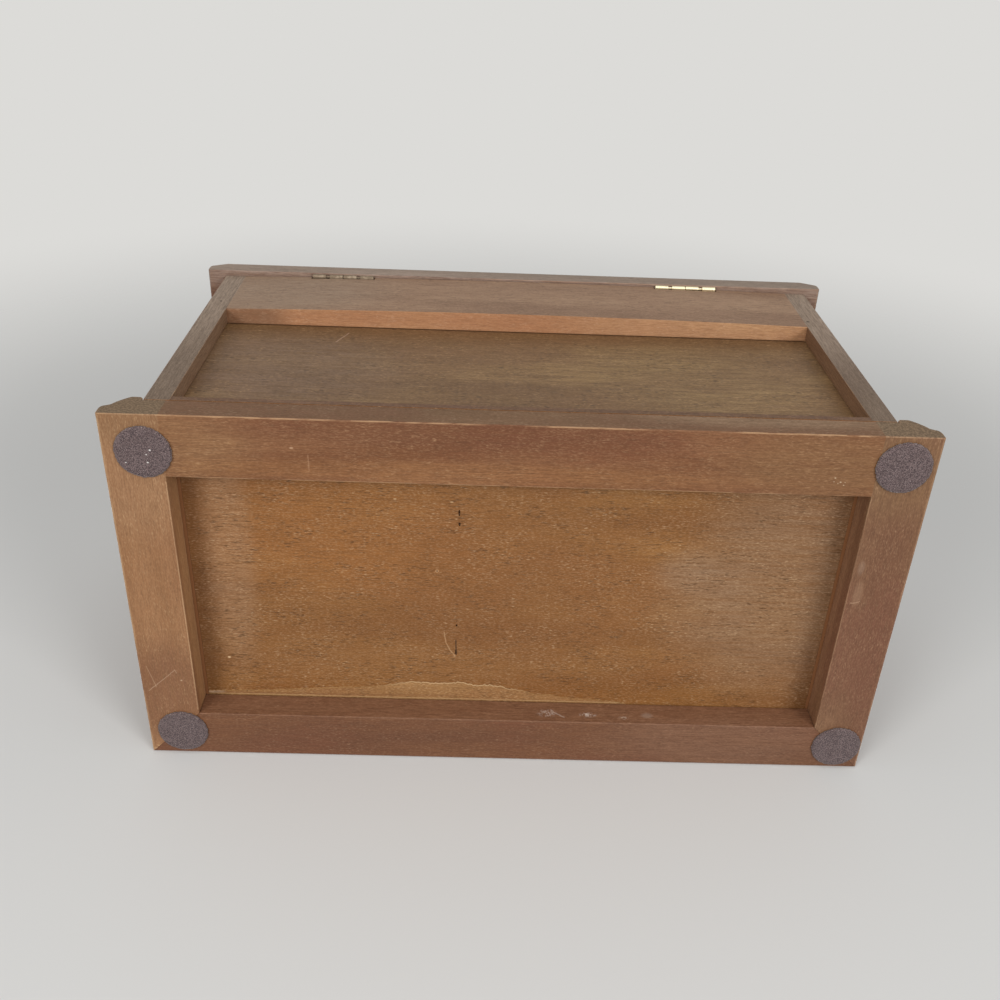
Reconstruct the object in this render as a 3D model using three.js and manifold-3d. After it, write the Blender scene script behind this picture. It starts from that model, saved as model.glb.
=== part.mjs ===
// A wooden jewellery box: a moulded plinth on four felt pads, a boarded body with an open tray
// above two bays of drawers, and a lid with a moulded edge on two brass butt hinges.
// Millimetres, +X to the right seen from the front, +Y to the back, +Z up. The felt pads stand
// on z = 0, and the origin is under the middle of the whole box.

import * as THREE from 'three';
import { mergeVertices } from 'three/addons/utils/BufferGeometryUtils.js';
import Module from 'manifold-3d';

// Stock that the maker starts from
const boardThickness = 8.8;
const plyThickness = 2.7;
const glueLine = 0.1;
const grooveDepth = 3;
const cutOverrun = 1;

// Plinth: three moulded rails round the front and ends, and a plain rail at the back
const plinthWidth = 270;
const plinthDepth = 142.8;
const plinthOverhang = 11.8;
const mouldingWidth = 19.6;
const mouldingHeight = 12.9;
const seatHeight = 10.9;
const backRailWidth = 22.4;
const footHeight = 3.4;
const footEase = 0.5;
const noseWidth = 1.6;
const noseRise = 2.6;
const filletWidth = 1.4;
const filletRise = 0.9;
const slopeWidth = 5;
const slopeBulge = 0.4;
const lipRadius = 1.2;
const mitreGap = 0.15;

// Felt pads, each stuck on by hand: the middle of each, from the end and from the front or back
// edge of the plinth under which it lies
const padRadius = 9.3;
const padThickness = 1;
const padRightBack = { fromEnd: 13.5, fromEdge: 13.2 };
const padLeftBack = { fromEnd: 11.4, fromEdge: 11 };
const padRightFront = { fromEnd: 12.8, fromEdge: 11.1 };
const padLeftFront = { fromEnd: 10, fromEdge: 10.9 };

// Body: end boards, rails between them, plywood bottom and back
const bodyHeight = 122.9;
const upperRailHeight = 38.9;
const backPanelLap = 6;
const trayFloorRise = 7.5;
const partitionThickness = 7;
const partitionOffset = 20.1;
const shelfThickness = 4;
const housingDepth = 2.5;
const boardEase = 0.6;
const backRailCrown = 1.4;

// Tray fittings
const dividerThickness = 3;
const dividerHeight = 24;
const longDividerFromBack = 42;
const backBayShares = [0.34, 0.66];
const ringRollHeight = 17;
const ringRollPitch = 12.6;
const ringSlotWidth = 1.2;
const ringSlotDepth = 9;
const cushionGap = 0.5;

// Lid: one board with a moulded edge at the front and ends, and a mirror let into its underside
const lidSeam = 0.3;
const lidThickness = 8.8;
const lidOverhang = 6.6;
const lidBackOverhang = 2.2;
const lidOffCentre = 0.5;
const lidEdgeHeight = 4;
const lidNoseWidth = 1.1;
const lidNoseRise = 1.9;
const lidSlopeWidth = 5.4;
const lidEdgeEase = 0.7;
const mirrorWidth = 176;
const mirrorDepth = 92;
const mirrorThickness = 3;
const mirrorFit = 0.3;

// Hinges: the pin lies just behind the back and just under the lid, and the middle of each hinge
// is measured from the end of the body that it is nearer to
const hingeLength = 25.4;
const hingeFromRightEnd = 49.9;
const hingeFromLeftEnd = 51.7;
const leafWidth = 9;
const leafThickness = 0.5;
const knuckleRadius = 0.95;
const pinRadius = 0.4;
const pinClearance = 0.1;
const knuckleGap = 0.3;
const pinWindow = 1.6;
const pinBehindBack = 1.1;
const lidLeafGap = 0.15;
const mortiseClearance = 0.5;

// Drawers: inset fronts, sides let into them, a plywood bottom in grooves, a turned knob
const drawerFrontThickness = 9;
const drawerSideThickness = 5;
const drawerLap = 4;
const drawerSideGap = 0.5;
const drawerTopGap = 0.8;
const drawerLift = 0.3;
const drawerBackGap = 3;
const drawerBackDrop = 2;
const drawerBottomRise = 2;
const drawerGrooveDepth = 2;
const drawerFrontEase = 0.8;
const knobReach = 11.4;
const knobRadius = 6;
const knobNeckRadius = 2.6;
const knobFootRadius = 4.2;
const knobFootHeight = 1.6;
const knobTenonRadius = 2;
const knobTenonLength = 7;

// How finely round work is faceted
const roundSegments = 24;
const padSegments = 40;
const curveSegments = 10;

// Planes and levels that follow from the sizes above
const rearReach = Math.max(lidBackOverhang, pinBehindBack + knuckleRadius);
const frontReach = Math.max(plinthOverhang, knobReach);
const bodyDepth = plinthDepth - plinthOverhang;
const backY = (frontReach + bodyDepth - rearReach) / 2;
const bodyFrontY = backY - bodyDepth;
const plinthFrontY = backY - plinthDepth;
const plinthHalf = plinthWidth / 2;
const bodyHalf = plinthHalf - plinthOverhang;
const innerHalf = bodyHalf - boardThickness;
const hingeRightX = bodyHalf - hingeFromRightEnd;
const hingeLeftX = hingeFromLeftEnd - bodyHalf;
const plinthZ = padThickness;
const seatZ = plinthZ + seatHeight;
const bodyZ = seatZ + glueLine;
const bodyTopZ = bodyZ + bodyHeight;
const bayFloorZ = bodyZ + plyThickness;
const railZ = bodyTopZ - upperRailHeight;
const trayFloorZ = railZ + trayFloorRise;
const trayTopZ = trayFloorZ + plyThickness;
const frontRailBackY = bodyFrontY + boardThickness;
const backRailFrontY = backY - boardThickness;
const shelfZ = (bayFloorZ + railZ - shelfThickness) / 2;
const partitionLeftX = partitionOffset - partitionThickness / 2;
const partitionRightX = partitionOffset + partitionThickness / 2;
const lidZ = bodyTopZ + lidSeam;
const pinY = backY + pinBehindBack;
const pinZ = lidZ - lidLeafGap - knuckleRadius;

const wasm = await Module();
wasm.setup();

// A closed geometry as a solid that can be cut and joined
function solid(geometry) {
  const bare = geometry.clone();
  bare.deleteAttribute('normal');
  bare.deleteAttribute('uv');
  const merged = mergeVertices(bare);
  return new wasm.Manifold(new wasm.Mesh({
    numProp: 3,
    vertProperties: new Float32Array(merged.attributes.position.array),
    triVerts: new Uint32Array(merged.index.array),
  }));
}

// A solid back as a geometry with flat-shaded faces
function geometryOf(manifold) {
  const mesh = manifold.getMesh();
  const indexed = new THREE.BufferGeometry();
  indexed.setAttribute('position', new THREE.BufferAttribute(new Float32Array(mesh.vertProperties), 3));
  indexed.setIndex(new THREE.BufferAttribute(new Uint32Array(mesh.triVerts), 1));
  const flat = indexed.toNonIndexed();
  flat.computeVertexNormals();
  return flat;
}

function cut(geometry, cutters) {
  return geometryOf(cutters.reduce((body, cutter) => body.subtract(solid(cutter)), solid(geometry)));
}

function join(geometries) {
  return geometryOf(geometries.map(solid).reduce((body, next) => body.add(next)));
}

function common(first, second) {
  return geometryOf(solid(first).intersect(solid(second)));
}

// A board between two planes each way
function board([x0, x1], [y0, y1], [z0, z1]) {
  const geometry = new THREE.BoxGeometry(x1 - x0, y1 - y0, z1 - z0);
  return geometry.translate((x0 + x1) / 2, (y0 + y1) / 2, (z0 + z1) / 2);
}

// An outline pushed along its own normal and laid on two axes of the box from a starting point
function extrudeOn(shape, length, across, upward, start) {
  const geometry = new THREE.ExtrudeGeometry(shape, {
    depth: length, bevelEnabled: false, curveSegments,
  });
  const along = new THREE.Vector3().crossVectors(across, upward);
  return geometry.applyMatrix4(new THREE.Matrix4().makeBasis(across, upward, along).setPosition(start));
}

const axisX = new THREE.Vector3(1, 0, 0);
const axisY = new THREE.Vector3(0, 1, 0);
const axisZ = new THREE.Vector3(0, 0, 1);

// A rod along X between two ends
function rod(radius, x0, x1, y, z, segments = roundSegments) {
  const geometry = new THREE.CylinderGeometry(radius, radius, x1 - x0, segments);
  return geometry.rotateZ(Math.PI / 2).translate((x0 + x1) / 2, y, z);
}

const finishes = {
  stainedWood: { color: 0x8a5a3c, roughness: 0.45, metalness: 0 },
  plywood: { color: 0x8f6239, roughness: 0.55, metalness: 0 },
  paleWood: { color: 0xb08a5e, roughness: 0.6, metalness: 0 },
  felt: { color: 0x63585c, roughness: 1, metalness: 0 },
  velvet: { color: 0x5a1f2b, roughness: 1, metalness: 0 },
  brass: { color: 0xc9a24e, roughness: 0.3, metalness: 1 },
  mirrorGlass: { color: 0xdfe5e6, roughness: 0.03, metalness: 1 },
};

const box = new THREE.Group();

function addPiece(name, finish, geometry, parent = box) {
  const mesh = new THREE.Mesh(geometry, new THREE.MeshStandardMaterial(finishes[finish]));
  mesh.name = name;
  parent.add(mesh);
  return mesh;
}

// Plinth moulding in section: across is 0 at the inner edge, up is 0 at the underside. A square
// foot, a rounded nose, a narrow fillet and a long slope, with a lip that stands round the body
function mouldingSection() {
  const nose = mouldingWidth - noseWidth;
  const noseTop = footHeight + noseRise;
  const slopeFoot = [nose - filletWidth, noseTop + filletRise];
  const slopeHead = [slopeFoot[0] - slopeWidth, mouldingHeight];
  const slopeLength = Math.hypot(slopeWidth, slopeHead[1] - slopeFoot[1]);
  const bulge = 2 * slopeBulge / slopeLength;
  const lipAcross = mouldingWidth - plinthOverhang + glueLine;
  const shape = new THREE.Shape();
  shape.moveTo(0, 0);
  shape.lineTo(mouldingWidth - footEase, 0);
  shape.lineTo(mouldingWidth, footEase);
  shape.lineTo(mouldingWidth, footHeight);
  shape.absellipse(nose, footHeight, noseWidth, noseRise, 0, Math.PI / 2, false);
  shape.lineTo(...slopeFoot);
  shape.quadraticCurveTo(
    (slopeFoot[0] + slopeHead[0]) / 2 + bulge * (slopeHead[1] - slopeFoot[1]),
    (slopeFoot[1] + slopeHead[1]) / 2 + bulge * slopeWidth, ...slopeHead);
  shape.absarc(lipAcross + lipRadius, mouldingHeight - lipRadius, lipRadius, Math.PI / 2, Math.PI, false);
  shape.lineTo(lipAcross, seatHeight);
  shape.lineTo(0, seatHeight);
  shape.closePath();
  return shape;
}

// A length of the moulding, measured on its outer edge, with a mitre at either or both ends
function mouldingRail(length, mitreStart, mitreEnd, gap, across, start) {
  const geometry = new THREE.ExtrudeGeometry(mouldingSection(), {
    depth: length, bevelEnabled: false, curveSegments,
  });
  const place = geometry.attributes.position;
  for (let i = 0; i < place.count; i += 1) {
    const inset = mouldingWidth - place.getX(i);
    const atStart = place.getZ(i) < length / 2;
    if (atStart && mitreStart) place.setZ(i, inset + gap);
    if (!atStart && mitreEnd) place.setZ(i, length - inset - gap);
  }
  const along = new THREE.Vector3().crossVectors(across, axisZ);
  return geometry.applyMatrix4(new THREE.Matrix4().makeBasis(across, axisZ, along).setPosition(start));
}

function buildPlinth() {
  const innerEdgeX = plinthHalf - mouldingWidth;
  const innerEdgeY = plinthFrontY + mouldingWidth;
  addPiece('base_right_rail', 'stainedWood', mouldingRail(
    plinthDepth, false, true, 0, axisX, new THREE.Vector3(innerEdgeX, backY, plinthZ)));
  addPiece('base_left_rail', 'stainedWood', mouldingRail(
    plinthDepth, true, false, 0, axisX.clone().negate(), new THREE.Vector3(-innerEdgeX, plinthFrontY, plinthZ)));
  addPiece('base_front_rail', 'stainedWood', mouldingRail(
    plinthWidth, true, true, mitreGap, axisY.clone().negate(), new THREE.Vector3(plinthHalf, innerEdgeY, plinthZ)));
  addPiece('base_back_rail', 'stainedWood', board(
    [glueLine - innerEdgeX, innerEdgeX - glueLine], [backY - backRailWidth, backY], [plinthZ, seatZ]));

  const pads = {
    felt_pad_right_back: [1, padRightBack, backY - padRightBack.fromEdge],
    felt_pad_left_back: [-1, padLeftBack, backY - padLeftBack.fromEdge],
    felt_pad_right_front: [1, padRightFront, plinthFrontY + padRightFront.fromEdge],
    felt_pad_left_front: [-1, padLeftFront, plinthFrontY + padLeftFront.fromEdge],
  };
  for (const [name, [side, pad, y]] of Object.entries(pads)) {
    const disc = new THREE.CylinderGeometry(padRadius, padRadius, padThickness - glueLine, padSegments);
    disc.rotateX(Math.PI / 2);
    disc.translate(side * (plinthHalf - pad.fromEnd), y, (padThickness - glueLine) / 2);
    addPiece(name, 'felt', disc);
  }
}

// An end board: its outer corners are eased, an upright groove takes the back panel, and
// housings across its inner face take the shelf and the tray floor
function endBoard(side) {
  const shape = new THREE.Shape();
  const grooveFrom = backRailFrontY - glueLine;
  const grooveTo = backRailFrontY + plyThickness + glueLine;
  shape.moveTo(innerHalf, bodyFrontY);
  shape.lineTo(bodyHalf - boardEase, bodyFrontY);
  shape.lineTo(bodyHalf, bodyFrontY + boardEase);
  shape.lineTo(bodyHalf, backY - boardEase);
  shape.lineTo(bodyHalf - boardEase, backY);
  shape.lineTo(innerHalf, backY);
  shape.lineTo(innerHalf, grooveTo);
  shape.lineTo(innerHalf + grooveDepth, grooveTo);
  shape.lineTo(innerHalf + grooveDepth, grooveFrom);
  shape.lineTo(innerHalf, grooveFrom);
  shape.closePath();
  const blank = extrudeOn(shape, bodyHeight, axisX, axisY, new THREE.Vector3(0, 0, bodyZ));
  const shelfHousing = board([innerHalf - cutOverrun, innerHalf + housingDepth],
    [bodyFrontY - cutOverrun, grooveFrom + cutOverrun], [shelfZ - glueLine, shelfZ + shelfThickness + glueLine]);
  const floorHousing = board([innerHalf - cutOverrun, innerHalf + grooveDepth],
    [frontRailBackY - grooveDepth, backRailFrontY + grooveDepth], [trayFloorZ - glueLine, trayTopZ + glueLine]);
  const geometry = cut(blank, [shelfHousing, floorHousing]);
  return side > 0 ? geometry : mirrored(geometry);
}

// The same piece for the other end: flipped across the middle, faces turned out again
function mirrored(geometry) {
  const flipped = geometry.clone().scale(-1, 1, 1);
  const place = flipped.attributes.position.array;
  for (let i = 0; i < place.length; i += 9) {
    for (let k = 0; k < 3; k += 1) {
      [place[i + k], place[i + 3 + k]] = [place[i + 3 + k], place[i + k]];
    }
  }
  flipped.computeVertexNormals();
  return flipped;
}

function buildBody() {
  const railSpan = [glueLine - innerHalf, innerHalf - glueLine];
  const trayGroove = [trayFloorZ - glueLine, trayTopZ + glueLine];
  addPiece('bottom_panel', 'plywood', board(railSpan, [bodyFrontY, backY], [bodyZ, bayFloorZ]));
  addPiece('end_board_right', 'stainedWood', endBoard(1));
  addPiece('end_board_left', 'stainedWood', endBoard(-1));

  const backPanelReach = innerHalf + grooveDepth - glueLine;
  addPiece('back_panel', 'plywood', board([-backPanelReach, backPanelReach],
    [backRailFrontY, backRailFrontY + plyThickness], [bayFloorZ + glueLine, railZ + backPanelLap - glueLine]));

  const mortises = [hingeLeftX, hingeRightX].map((x) => board(
    [x - hingeLength / 2 - mortiseClearance, x + hingeLength / 2 + mortiseClearance],
    [pinY - leafWidth - mortiseClearance, backY + backRailCrown + cutOverrun],
    [pinZ - knuckleRadius - lidLeafGap, bodyTopZ + cutOverrun]));
  const panelRebate = board([-innerHalf, innerHalf],
    [backRailFrontY - cutOverrun, backRailFrontY + plyThickness + glueLine], [railZ - cutOverrun, railZ + backPanelLap]);
  const backTrayGroove = board([-innerHalf, innerHalf],
    [backRailFrontY - cutOverrun, backRailFrontY + grooveDepth], trayGroove);

  // The outer face of the back rail is crowned, flush with the end boards at its ends
  const crowned = new THREE.Shape();
  crowned.moveTo(railSpan[0], backRailFrontY);
  crowned.lineTo(railSpan[1], backRailFrontY);
  crowned.lineTo(railSpan[1], backY);
  crowned.quadraticCurveTo(0, backY + 2 * backRailCrown, railSpan[0], backY);
  crowned.closePath();
  const backRailBlank = extrudeOn(crowned, bodyTopZ - railZ, axisX, axisY, new THREE.Vector3(0, 0, railZ));
  addPiece('back_rail', 'stainedWood', cut(backRailBlank, [...mortises, panelRebate, backTrayGroove]));

  const frontTrayGroove = board([-innerHalf, innerHalf],
    [frontRailBackY - grooveDepth, frontRailBackY + cutOverrun], trayGroove);
  addPiece('front_rail', 'stainedWood', cut(
    board(railSpan, [bodyFrontY, frontRailBackY], [railZ, bodyTopZ]), [frontTrayGroove]));

  const floorReach = innerHalf + grooveDepth - glueLine;
  const floorInset = grooveDepth - glueLine;
  addPiece('tray_floor', 'plywood', board([-floorReach, floorReach],
    [frontRailBackY - floorInset, backRailFrontY + floorInset], [trayFloorZ, trayTopZ]));

  // The partition stands on the bottom panel, passes behind the front rail and carries the tray
  // floor, and a housing in each face takes a shelf
  const partition = new THREE.Shape();
  partition.moveTo(bodyFrontY, bayFloorZ + glueLine);
  partition.lineTo(backRailFrontY - glueLine, bayFloorZ + glueLine);
  partition.lineTo(backRailFrontY - glueLine, trayFloorZ - glueLine);
  partition.lineTo(frontRailBackY + glueLine, trayFloorZ - glueLine);
  partition.lineTo(frontRailBackY + glueLine, railZ - glueLine);
  partition.lineTo(bodyFrontY, railZ - glueLine);
  partition.closePath();
  const partitionBlank = extrudeOn(partition, partitionThickness, axisY, axisZ,
    new THREE.Vector3(partitionLeftX, 0, 0));
  const housingHeights = [shelfZ - glueLine, shelfZ + shelfThickness + glueLine];
  const housingRun = [bodyFrontY - cutOverrun, backY];
  addPiece('partition', 'stainedWood', cut(partitionBlank, [
    board([partitionLeftX - cutOverrun, partitionLeftX + housingDepth], housingRun, housingHeights),
    board([partitionRightX - housingDepth, partitionRightX + cutOverrun], housingRun, housingHeights),
  ]));

  const shelfRun = [bodyFrontY, backRailFrontY - glueLine];
  const shelfSpan = [shelfZ, shelfZ + shelfThickness];
  const shelfEnd = innerHalf + housingDepth - glueLine;
  addPiece('shelf_left', 'stainedWood', board(
    [-shelfEnd, partitionLeftX + housingDepth - glueLine], shelfRun, shelfSpan));
  addPiece('shelf_right', 'stainedWood', board(
    [partitionRightX - housingDepth + glueLine, shelfEnd], shelfRun, shelfSpan));
}

// Tray: three small bays along the back, one long bay at the front left and ring rolls at the
// front right, over the partition
function buildTray() {
  const heights = [trayTopZ + glueLine, trayTopZ + dividerHeight];
  const longBack = backRailFrontY - longDividerFromBack;
  const longFront = longBack - dividerThickness;
  const reach = innerHalf - glueLine;
  addPiece('tray_divider_long', 'velvet', board([-reach, reach], [longFront, longBack], heights));
  backBayShares.forEach((share, i) => {
    const x = -innerHalf + 2 * innerHalf * share;
    addPiece(i === 0 ? 'tray_divider_back_left' : 'tray_divider_back_right', 'velvet', board(
      [x - dividerThickness / 2, x + dividerThickness / 2],
      [longBack + glueLine, backRailFrontY - glueLine], heights));
  });
  addPiece('tray_divider_front', 'velvet', board(
    [partitionOffset - dividerThickness / 2, partitionOffset + dividerThickness / 2],
    [frontRailBackY + glueLine, longFront - glueLine], heights));

  // Ring rolls: round-topped ridges side by side, with a narrow slot between each two
  const from = frontRailBackY + cushionGap;
  const to = longFront - cushionGap;
  const rolls = Math.max(2, Math.floor((to - from) / ringRollPitch));
  const pitch = (to - from) / rolls;
  const rollHalf = (pitch - ringSlotWidth) / 2;
  const shape = new THREE.Shape();
  shape.moveTo(from, 0);
  shape.lineTo(to, 0);
  for (let i = rolls - 1; i >= 0; i -= 1) {
    const right = from + pitch * (i + 1) - (i === rolls - 1 ? 0 : ringSlotWidth / 2);
    const left = from + pitch * i + (i === 0 ? 0 : ringSlotWidth / 2);
    if (i < rolls - 1) shape.lineTo(right, ringRollHeight - ringSlotDepth);
    shape.lineTo(right, ringRollHeight - rollHalf);
    shape.absellipse((left + right) / 2, ringRollHeight - rollHalf, (right - left) / 2, rollHalf, 0, Math.PI, false);
    if (i > 0) shape.lineTo(left, ringRollHeight - ringSlotDepth);
  }
  shape.closePath();
  const rollFrom = partitionOffset + dividerThickness / 2 + cushionGap;
  addPiece('ring_rolls', 'velvet', extrudeOn(shape, innerHalf - cushionGap - rollFrom, axisY, axisZ,
    new THREE.Vector3(rollFrom, 0, trayTopZ + drawerLift)));
}

// The lid's moulded edge in section, from the underside up to the flat top: an eased arris, a
// short upright face, a tight round and a long low slope
function addLidEdge(shape, outer, inward) {
  const noseTop = lidEdgeHeight + lidNoseRise;
  const noseAcross = outer + inward * lidNoseWidth;
  const slopeAcross = noseAcross + inward * lidSlopeWidth;
  const turn = [outer, noseTop - lidNoseWidth * (lidThickness - noseTop) / lidSlopeWidth];
  if (inward < 0) {
    shape.lineTo(outer + inward * lidEdgeEase, 0);
    shape.lineTo(outer, lidEdgeEase);
    shape.lineTo(outer, lidEdgeHeight);
    shape.quadraticCurveTo(...turn, noseAcross, noseTop);
    shape.lineTo(slopeAcross, lidThickness);
  } else {
    shape.lineTo(slopeAcross, lidThickness);
    shape.lineTo(noseAcross, noseTop);
    shape.quadraticCurveTo(...turn, outer, lidEdgeHeight);
    shape.lineTo(outer, lidEdgeEase);
    shape.lineTo(outer + inward * lidEdgeEase, 0);
  }
}

// The lid is hung a little off the middle of the body
function buildLid() {
  const lidHalf = bodyHalf + lidOverhang;
  const lidFront = bodyFrontY - lidOverhang;
  const lidBack = backY + lidBackOverhang;

  const endSection = new THREE.Shape();
  endSection.moveTo(0, 0);
  addLidEdge(endSection, lidHalf, -1);
  addLidEdge(endSection, -lidHalf, 1);
  endSection.closePath();
  const alongDepth = extrudeOn(endSection, lidBack - lidFront, axisX, axisZ,
    new THREE.Vector3(lidOffCentre, lidBack, lidZ));

  const frontSection = new THREE.Shape();
  frontSection.moveTo(lidBack, 0);
  frontSection.lineTo(lidBack, lidThickness);
  addLidEdge(frontSection, lidFront, 1);
  frontSection.closePath();
  const alongWidth = extrudeOn(frontSection, 2 * lidHalf, axisY, axisZ,
    new THREE.Vector3(lidOffCentre - lidHalf, 0, lidZ));

  const mirrorMiddleY = (frontRailBackY + backRailFrontY) / 2;
  const pocket = board(
    [-mirrorWidth / 2 - mirrorFit, mirrorWidth / 2 + mirrorFit],
    [mirrorMiddleY - mirrorDepth / 2 - mirrorFit, mirrorMiddleY + mirrorDepth / 2 + mirrorFit],
    [lidZ - cutOverrun, lidZ + mirrorThickness + glueLine]);
  addPiece('lid_board', 'stainedWood', cut(common(alongDepth, alongWidth), [pocket]));
  addPiece('lid_mirror', 'mirrorGlass', board([-mirrorWidth / 2, mirrorWidth / 2],
    [mirrorMiddleY - mirrorDepth / 2, mirrorMiddleY + mirrorDepth / 2], [lidZ, lidZ + mirrorThickness]));
}

// One leaf: a plate with two knuckles rolled from it, at the top of the barrel for the lid's leaf
// and at the bottom for the body's. The knuckles take turns along the pin
function hingeLeaf(middleX, spans, top) {
  const plateHeights = top > 0
    ? [pinZ + knuckleRadius - leafThickness, pinZ + knuckleRadius]
    : [pinZ - knuckleRadius, pinZ - knuckleRadius + leafThickness];
  const plateEnd = pinY - knuckleRadius - pinClearance;
  const solids = [board([middleX - hingeLength / 2, middleX + hingeLength / 2],
    [pinY - leafWidth, plateEnd], plateHeights)];
  for (const [x0, x1] of spans) {
    solids.push(rod(knuckleRadius, x0, x1, pinY, pinZ));
    solids.push(board([x0, x1], [plateEnd - leafThickness, pinY], plateHeights));
  }
  const bore = rod(pinRadius + pinClearance, middleX - hingeLength / 2 - cutOverrun,
    middleX + hingeLength / 2 + cutOverrun, pinY, pinZ);
  return cut(join(solids), [bore]);
}

function buildHinges() {
  const knuckleLength = (hingeLength - 2 * pinWindow - knuckleGap) / 4;
  for (const [side, middleX] of [['left', hingeLeftX], ['right', hingeRightX]]) {
    const start = middleX - hingeLength / 2;
    const starts = [start, start + knuckleLength + pinWindow];
    starts.push(starts[1] + knuckleLength + knuckleGap);
    starts.push(starts[2] + knuckleLength + pinWindow);
    const spans = starts.map((x) => [x, x + knuckleLength]);
    addPiece(`hinge_${side}_body_leaf`, 'brass', hingeLeaf(middleX, [spans[0], spans[2]], -1));
    addPiece(`hinge_${side}_lid_leaf`, 'brass', hingeLeaf(middleX, [spans[1], spans[3]], 1));
    addPiece(`hinge_${side}_pin`, 'brass', rod(pinRadius, start, start + hingeLength, pinY, pinZ));
  }
}

// A turned knob on the drawer's face, pointing forward, with a tenon into the front
function knob(x, z) {
  const face = knobFootHeight;
  const bulge = (knobReach - face) / 2;
  const neckEnd = knobReach - 2 * knobNeckRadius - bulge / 2;
  const outline = [
    [0, -knobTenonLength], [knobTenonRadius, -knobTenonLength], [knobTenonRadius, glueLine],
    [knobFootRadius, glueLine], [knobFootRadius, face / 2], [knobFootRadius - face / 2, face],
    [knobNeckRadius, face + face / 2],
  ].map(([r, h]) => new THREE.Vector2(r, h));
  const middle = (neckEnd + knobReach) / 2;
  const half = (knobReach - neckEnd) / 2;
  for (let i = 0; i <= curveSegments; i += 1) {
    const turn = -Math.PI / 2 + (Math.PI * (i + 1)) / (curveSegments + 1);
    const r = i === curveSegments ? 0 : knobRadius * Math.cos(turn);
    outline.push(new THREE.Vector2(Math.max(r, i === 0 ? knobNeckRadius : r), middle + half * Math.sin(turn)));
  }
  const geometry = mergeVertices(new THREE.LatheGeometry(outline, roundSegments));
  return geometry.rotateX(Math.PI).translate(x, bodyFrontY, z);
}

function buildDrawer(name, [openLeft, openRight], [openLow, openHigh]) {
  const left = openLeft + drawerSideGap;
  const right = openRight - drawerSideGap;
  const low = openLow + drawerLift;
  const high = openHigh - drawerTopGap;
  const faceBack = bodyFrontY + drawerFrontThickness;
  const lapBack = bodyFrontY + drawerLap;
  const end = backRailFrontY - drawerBackGap;
  const bottomLow = low + drawerBottomRise;
  const bottomHigh = bottomLow + plyThickness;
  const middleX = (left + right) / 2;
  const middleZ = (low + high) / 2;
  const drawer = new THREE.Group();
  box.add(drawer);

  // Front: eased round its face, rebated at both ends for the sides, grooved for the bottom and
  // bored for the knob's tenon
  const ease = drawerFrontEase;
  const outline = new THREE.Shape();
  outline.moveTo(left + ease, low + ease);
  outline.lineTo(right - ease, low + ease);
  outline.lineTo(right - ease, high - ease);
  outline.lineTo(left + ease, high - ease);
  outline.closePath();
  const blank = new THREE.ExtrudeGeometry(outline, {
    depth: drawerFrontThickness - ease, bevelEnabled: true, bevelSize: ease, bevelThickness: ease,
    bevelSegments: 2,
  });
  blank.applyMatrix4(new THREE.Matrix4().makeBasis(axisX, axisZ, axisY.clone().negate())
    .setPosition(new THREE.Vector3(0, faceBack, 0)));
  const squared = common(blank, board([left, right], [bodyFrontY, faceBack], [low, high]));
  const rebates = [[left - cutOverrun, left + drawerSideThickness + glueLine],
    [right - drawerSideThickness - glueLine, right + cutOverrun]].map((span) => board(
    span, [lapBack, faceBack + cutOverrun], [low - cutOverrun, high + cutOverrun]));
  const frontGroove = board([left, right], [faceBack - drawerGrooveDepth, faceBack + cutOverrun],
    [bottomLow - glueLine, bottomHigh + glueLine]);
  const tenonHole = new THREE.CylinderGeometry(knobTenonRadius + glueLine, knobTenonRadius + glueLine,
    knobTenonLength + cutOverrun, roundSegments);
  tenonHole.translate(middleX, bodyFrontY + (knobTenonLength - cutOverrun) / 2 + glueLine, middleZ);
  addPiece(`${name}_front`, 'stainedWood', cut(squared, [...rebates, frontGroove, tenonHole]), drawer);

  const sideRun = [lapBack + glueLine, end];
  for (const [side, span, grooveSpan] of [
    ['left', [left, left + drawerSideThickness],
      [left + drawerSideThickness - drawerGrooveDepth, left + drawerSideThickness + cutOverrun]],
    ['right', [right - drawerSideThickness, right],
      [right - drawerSideThickness - cutOverrun, right - drawerSideThickness + drawerGrooveDepth]],
  ]) {
    const groove = board(grooveSpan, [bodyFrontY, end + cutOverrun], [bottomLow - glueLine, bottomHigh + glueLine]);
    addPiece(`${name}_side_${side}`, 'paleWood', cut(board(span, sideRun, [low, high]), [groove]), drawer);
  }

  const inset = drawerSideThickness + glueLine;
  addPiece(`${name}_back`, 'paleWood', board([left + inset, right - inset],
    [end - drawerSideThickness, end], [bottomHigh + glueLine, high - drawerBackDrop]), drawer);
  const bottomInset = drawerSideThickness - drawerGrooveDepth + glueLine;
  addPiece(`${name}_bottom`, 'plywood', board([left + bottomInset, right - bottomInset],
    [faceBack - drawerGrooveDepth + glueLine, end], [bottomLow, bottomHigh]), drawer);
  addPiece(`${name}_knob`, 'brass', knob(middleX, middleZ), drawer);
}

buildPlinth();
buildBody();
buildTray();
buildLid();
buildHinges();
const leftBay = [-innerHalf, partitionLeftX];
const rightBay = [partitionRightX, innerHalf];
const lowerRow = [bayFloorZ, shelfZ];
const upperRow = [shelfZ + shelfThickness, railZ];
buildDrawer('drawer_lower_left', leftBay, lowerRow);
buildDrawer('drawer_lower_right', rightBay, lowerRow);
buildDrawer('drawer_upper_left', leftBay, upperRow);
buildDrawer('drawer_upper_right', rightBay, upperRow);

export default box;
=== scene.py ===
import math
import random

import bmesh
import bpy
from mathutils import Matrix, Vector, noise


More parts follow.
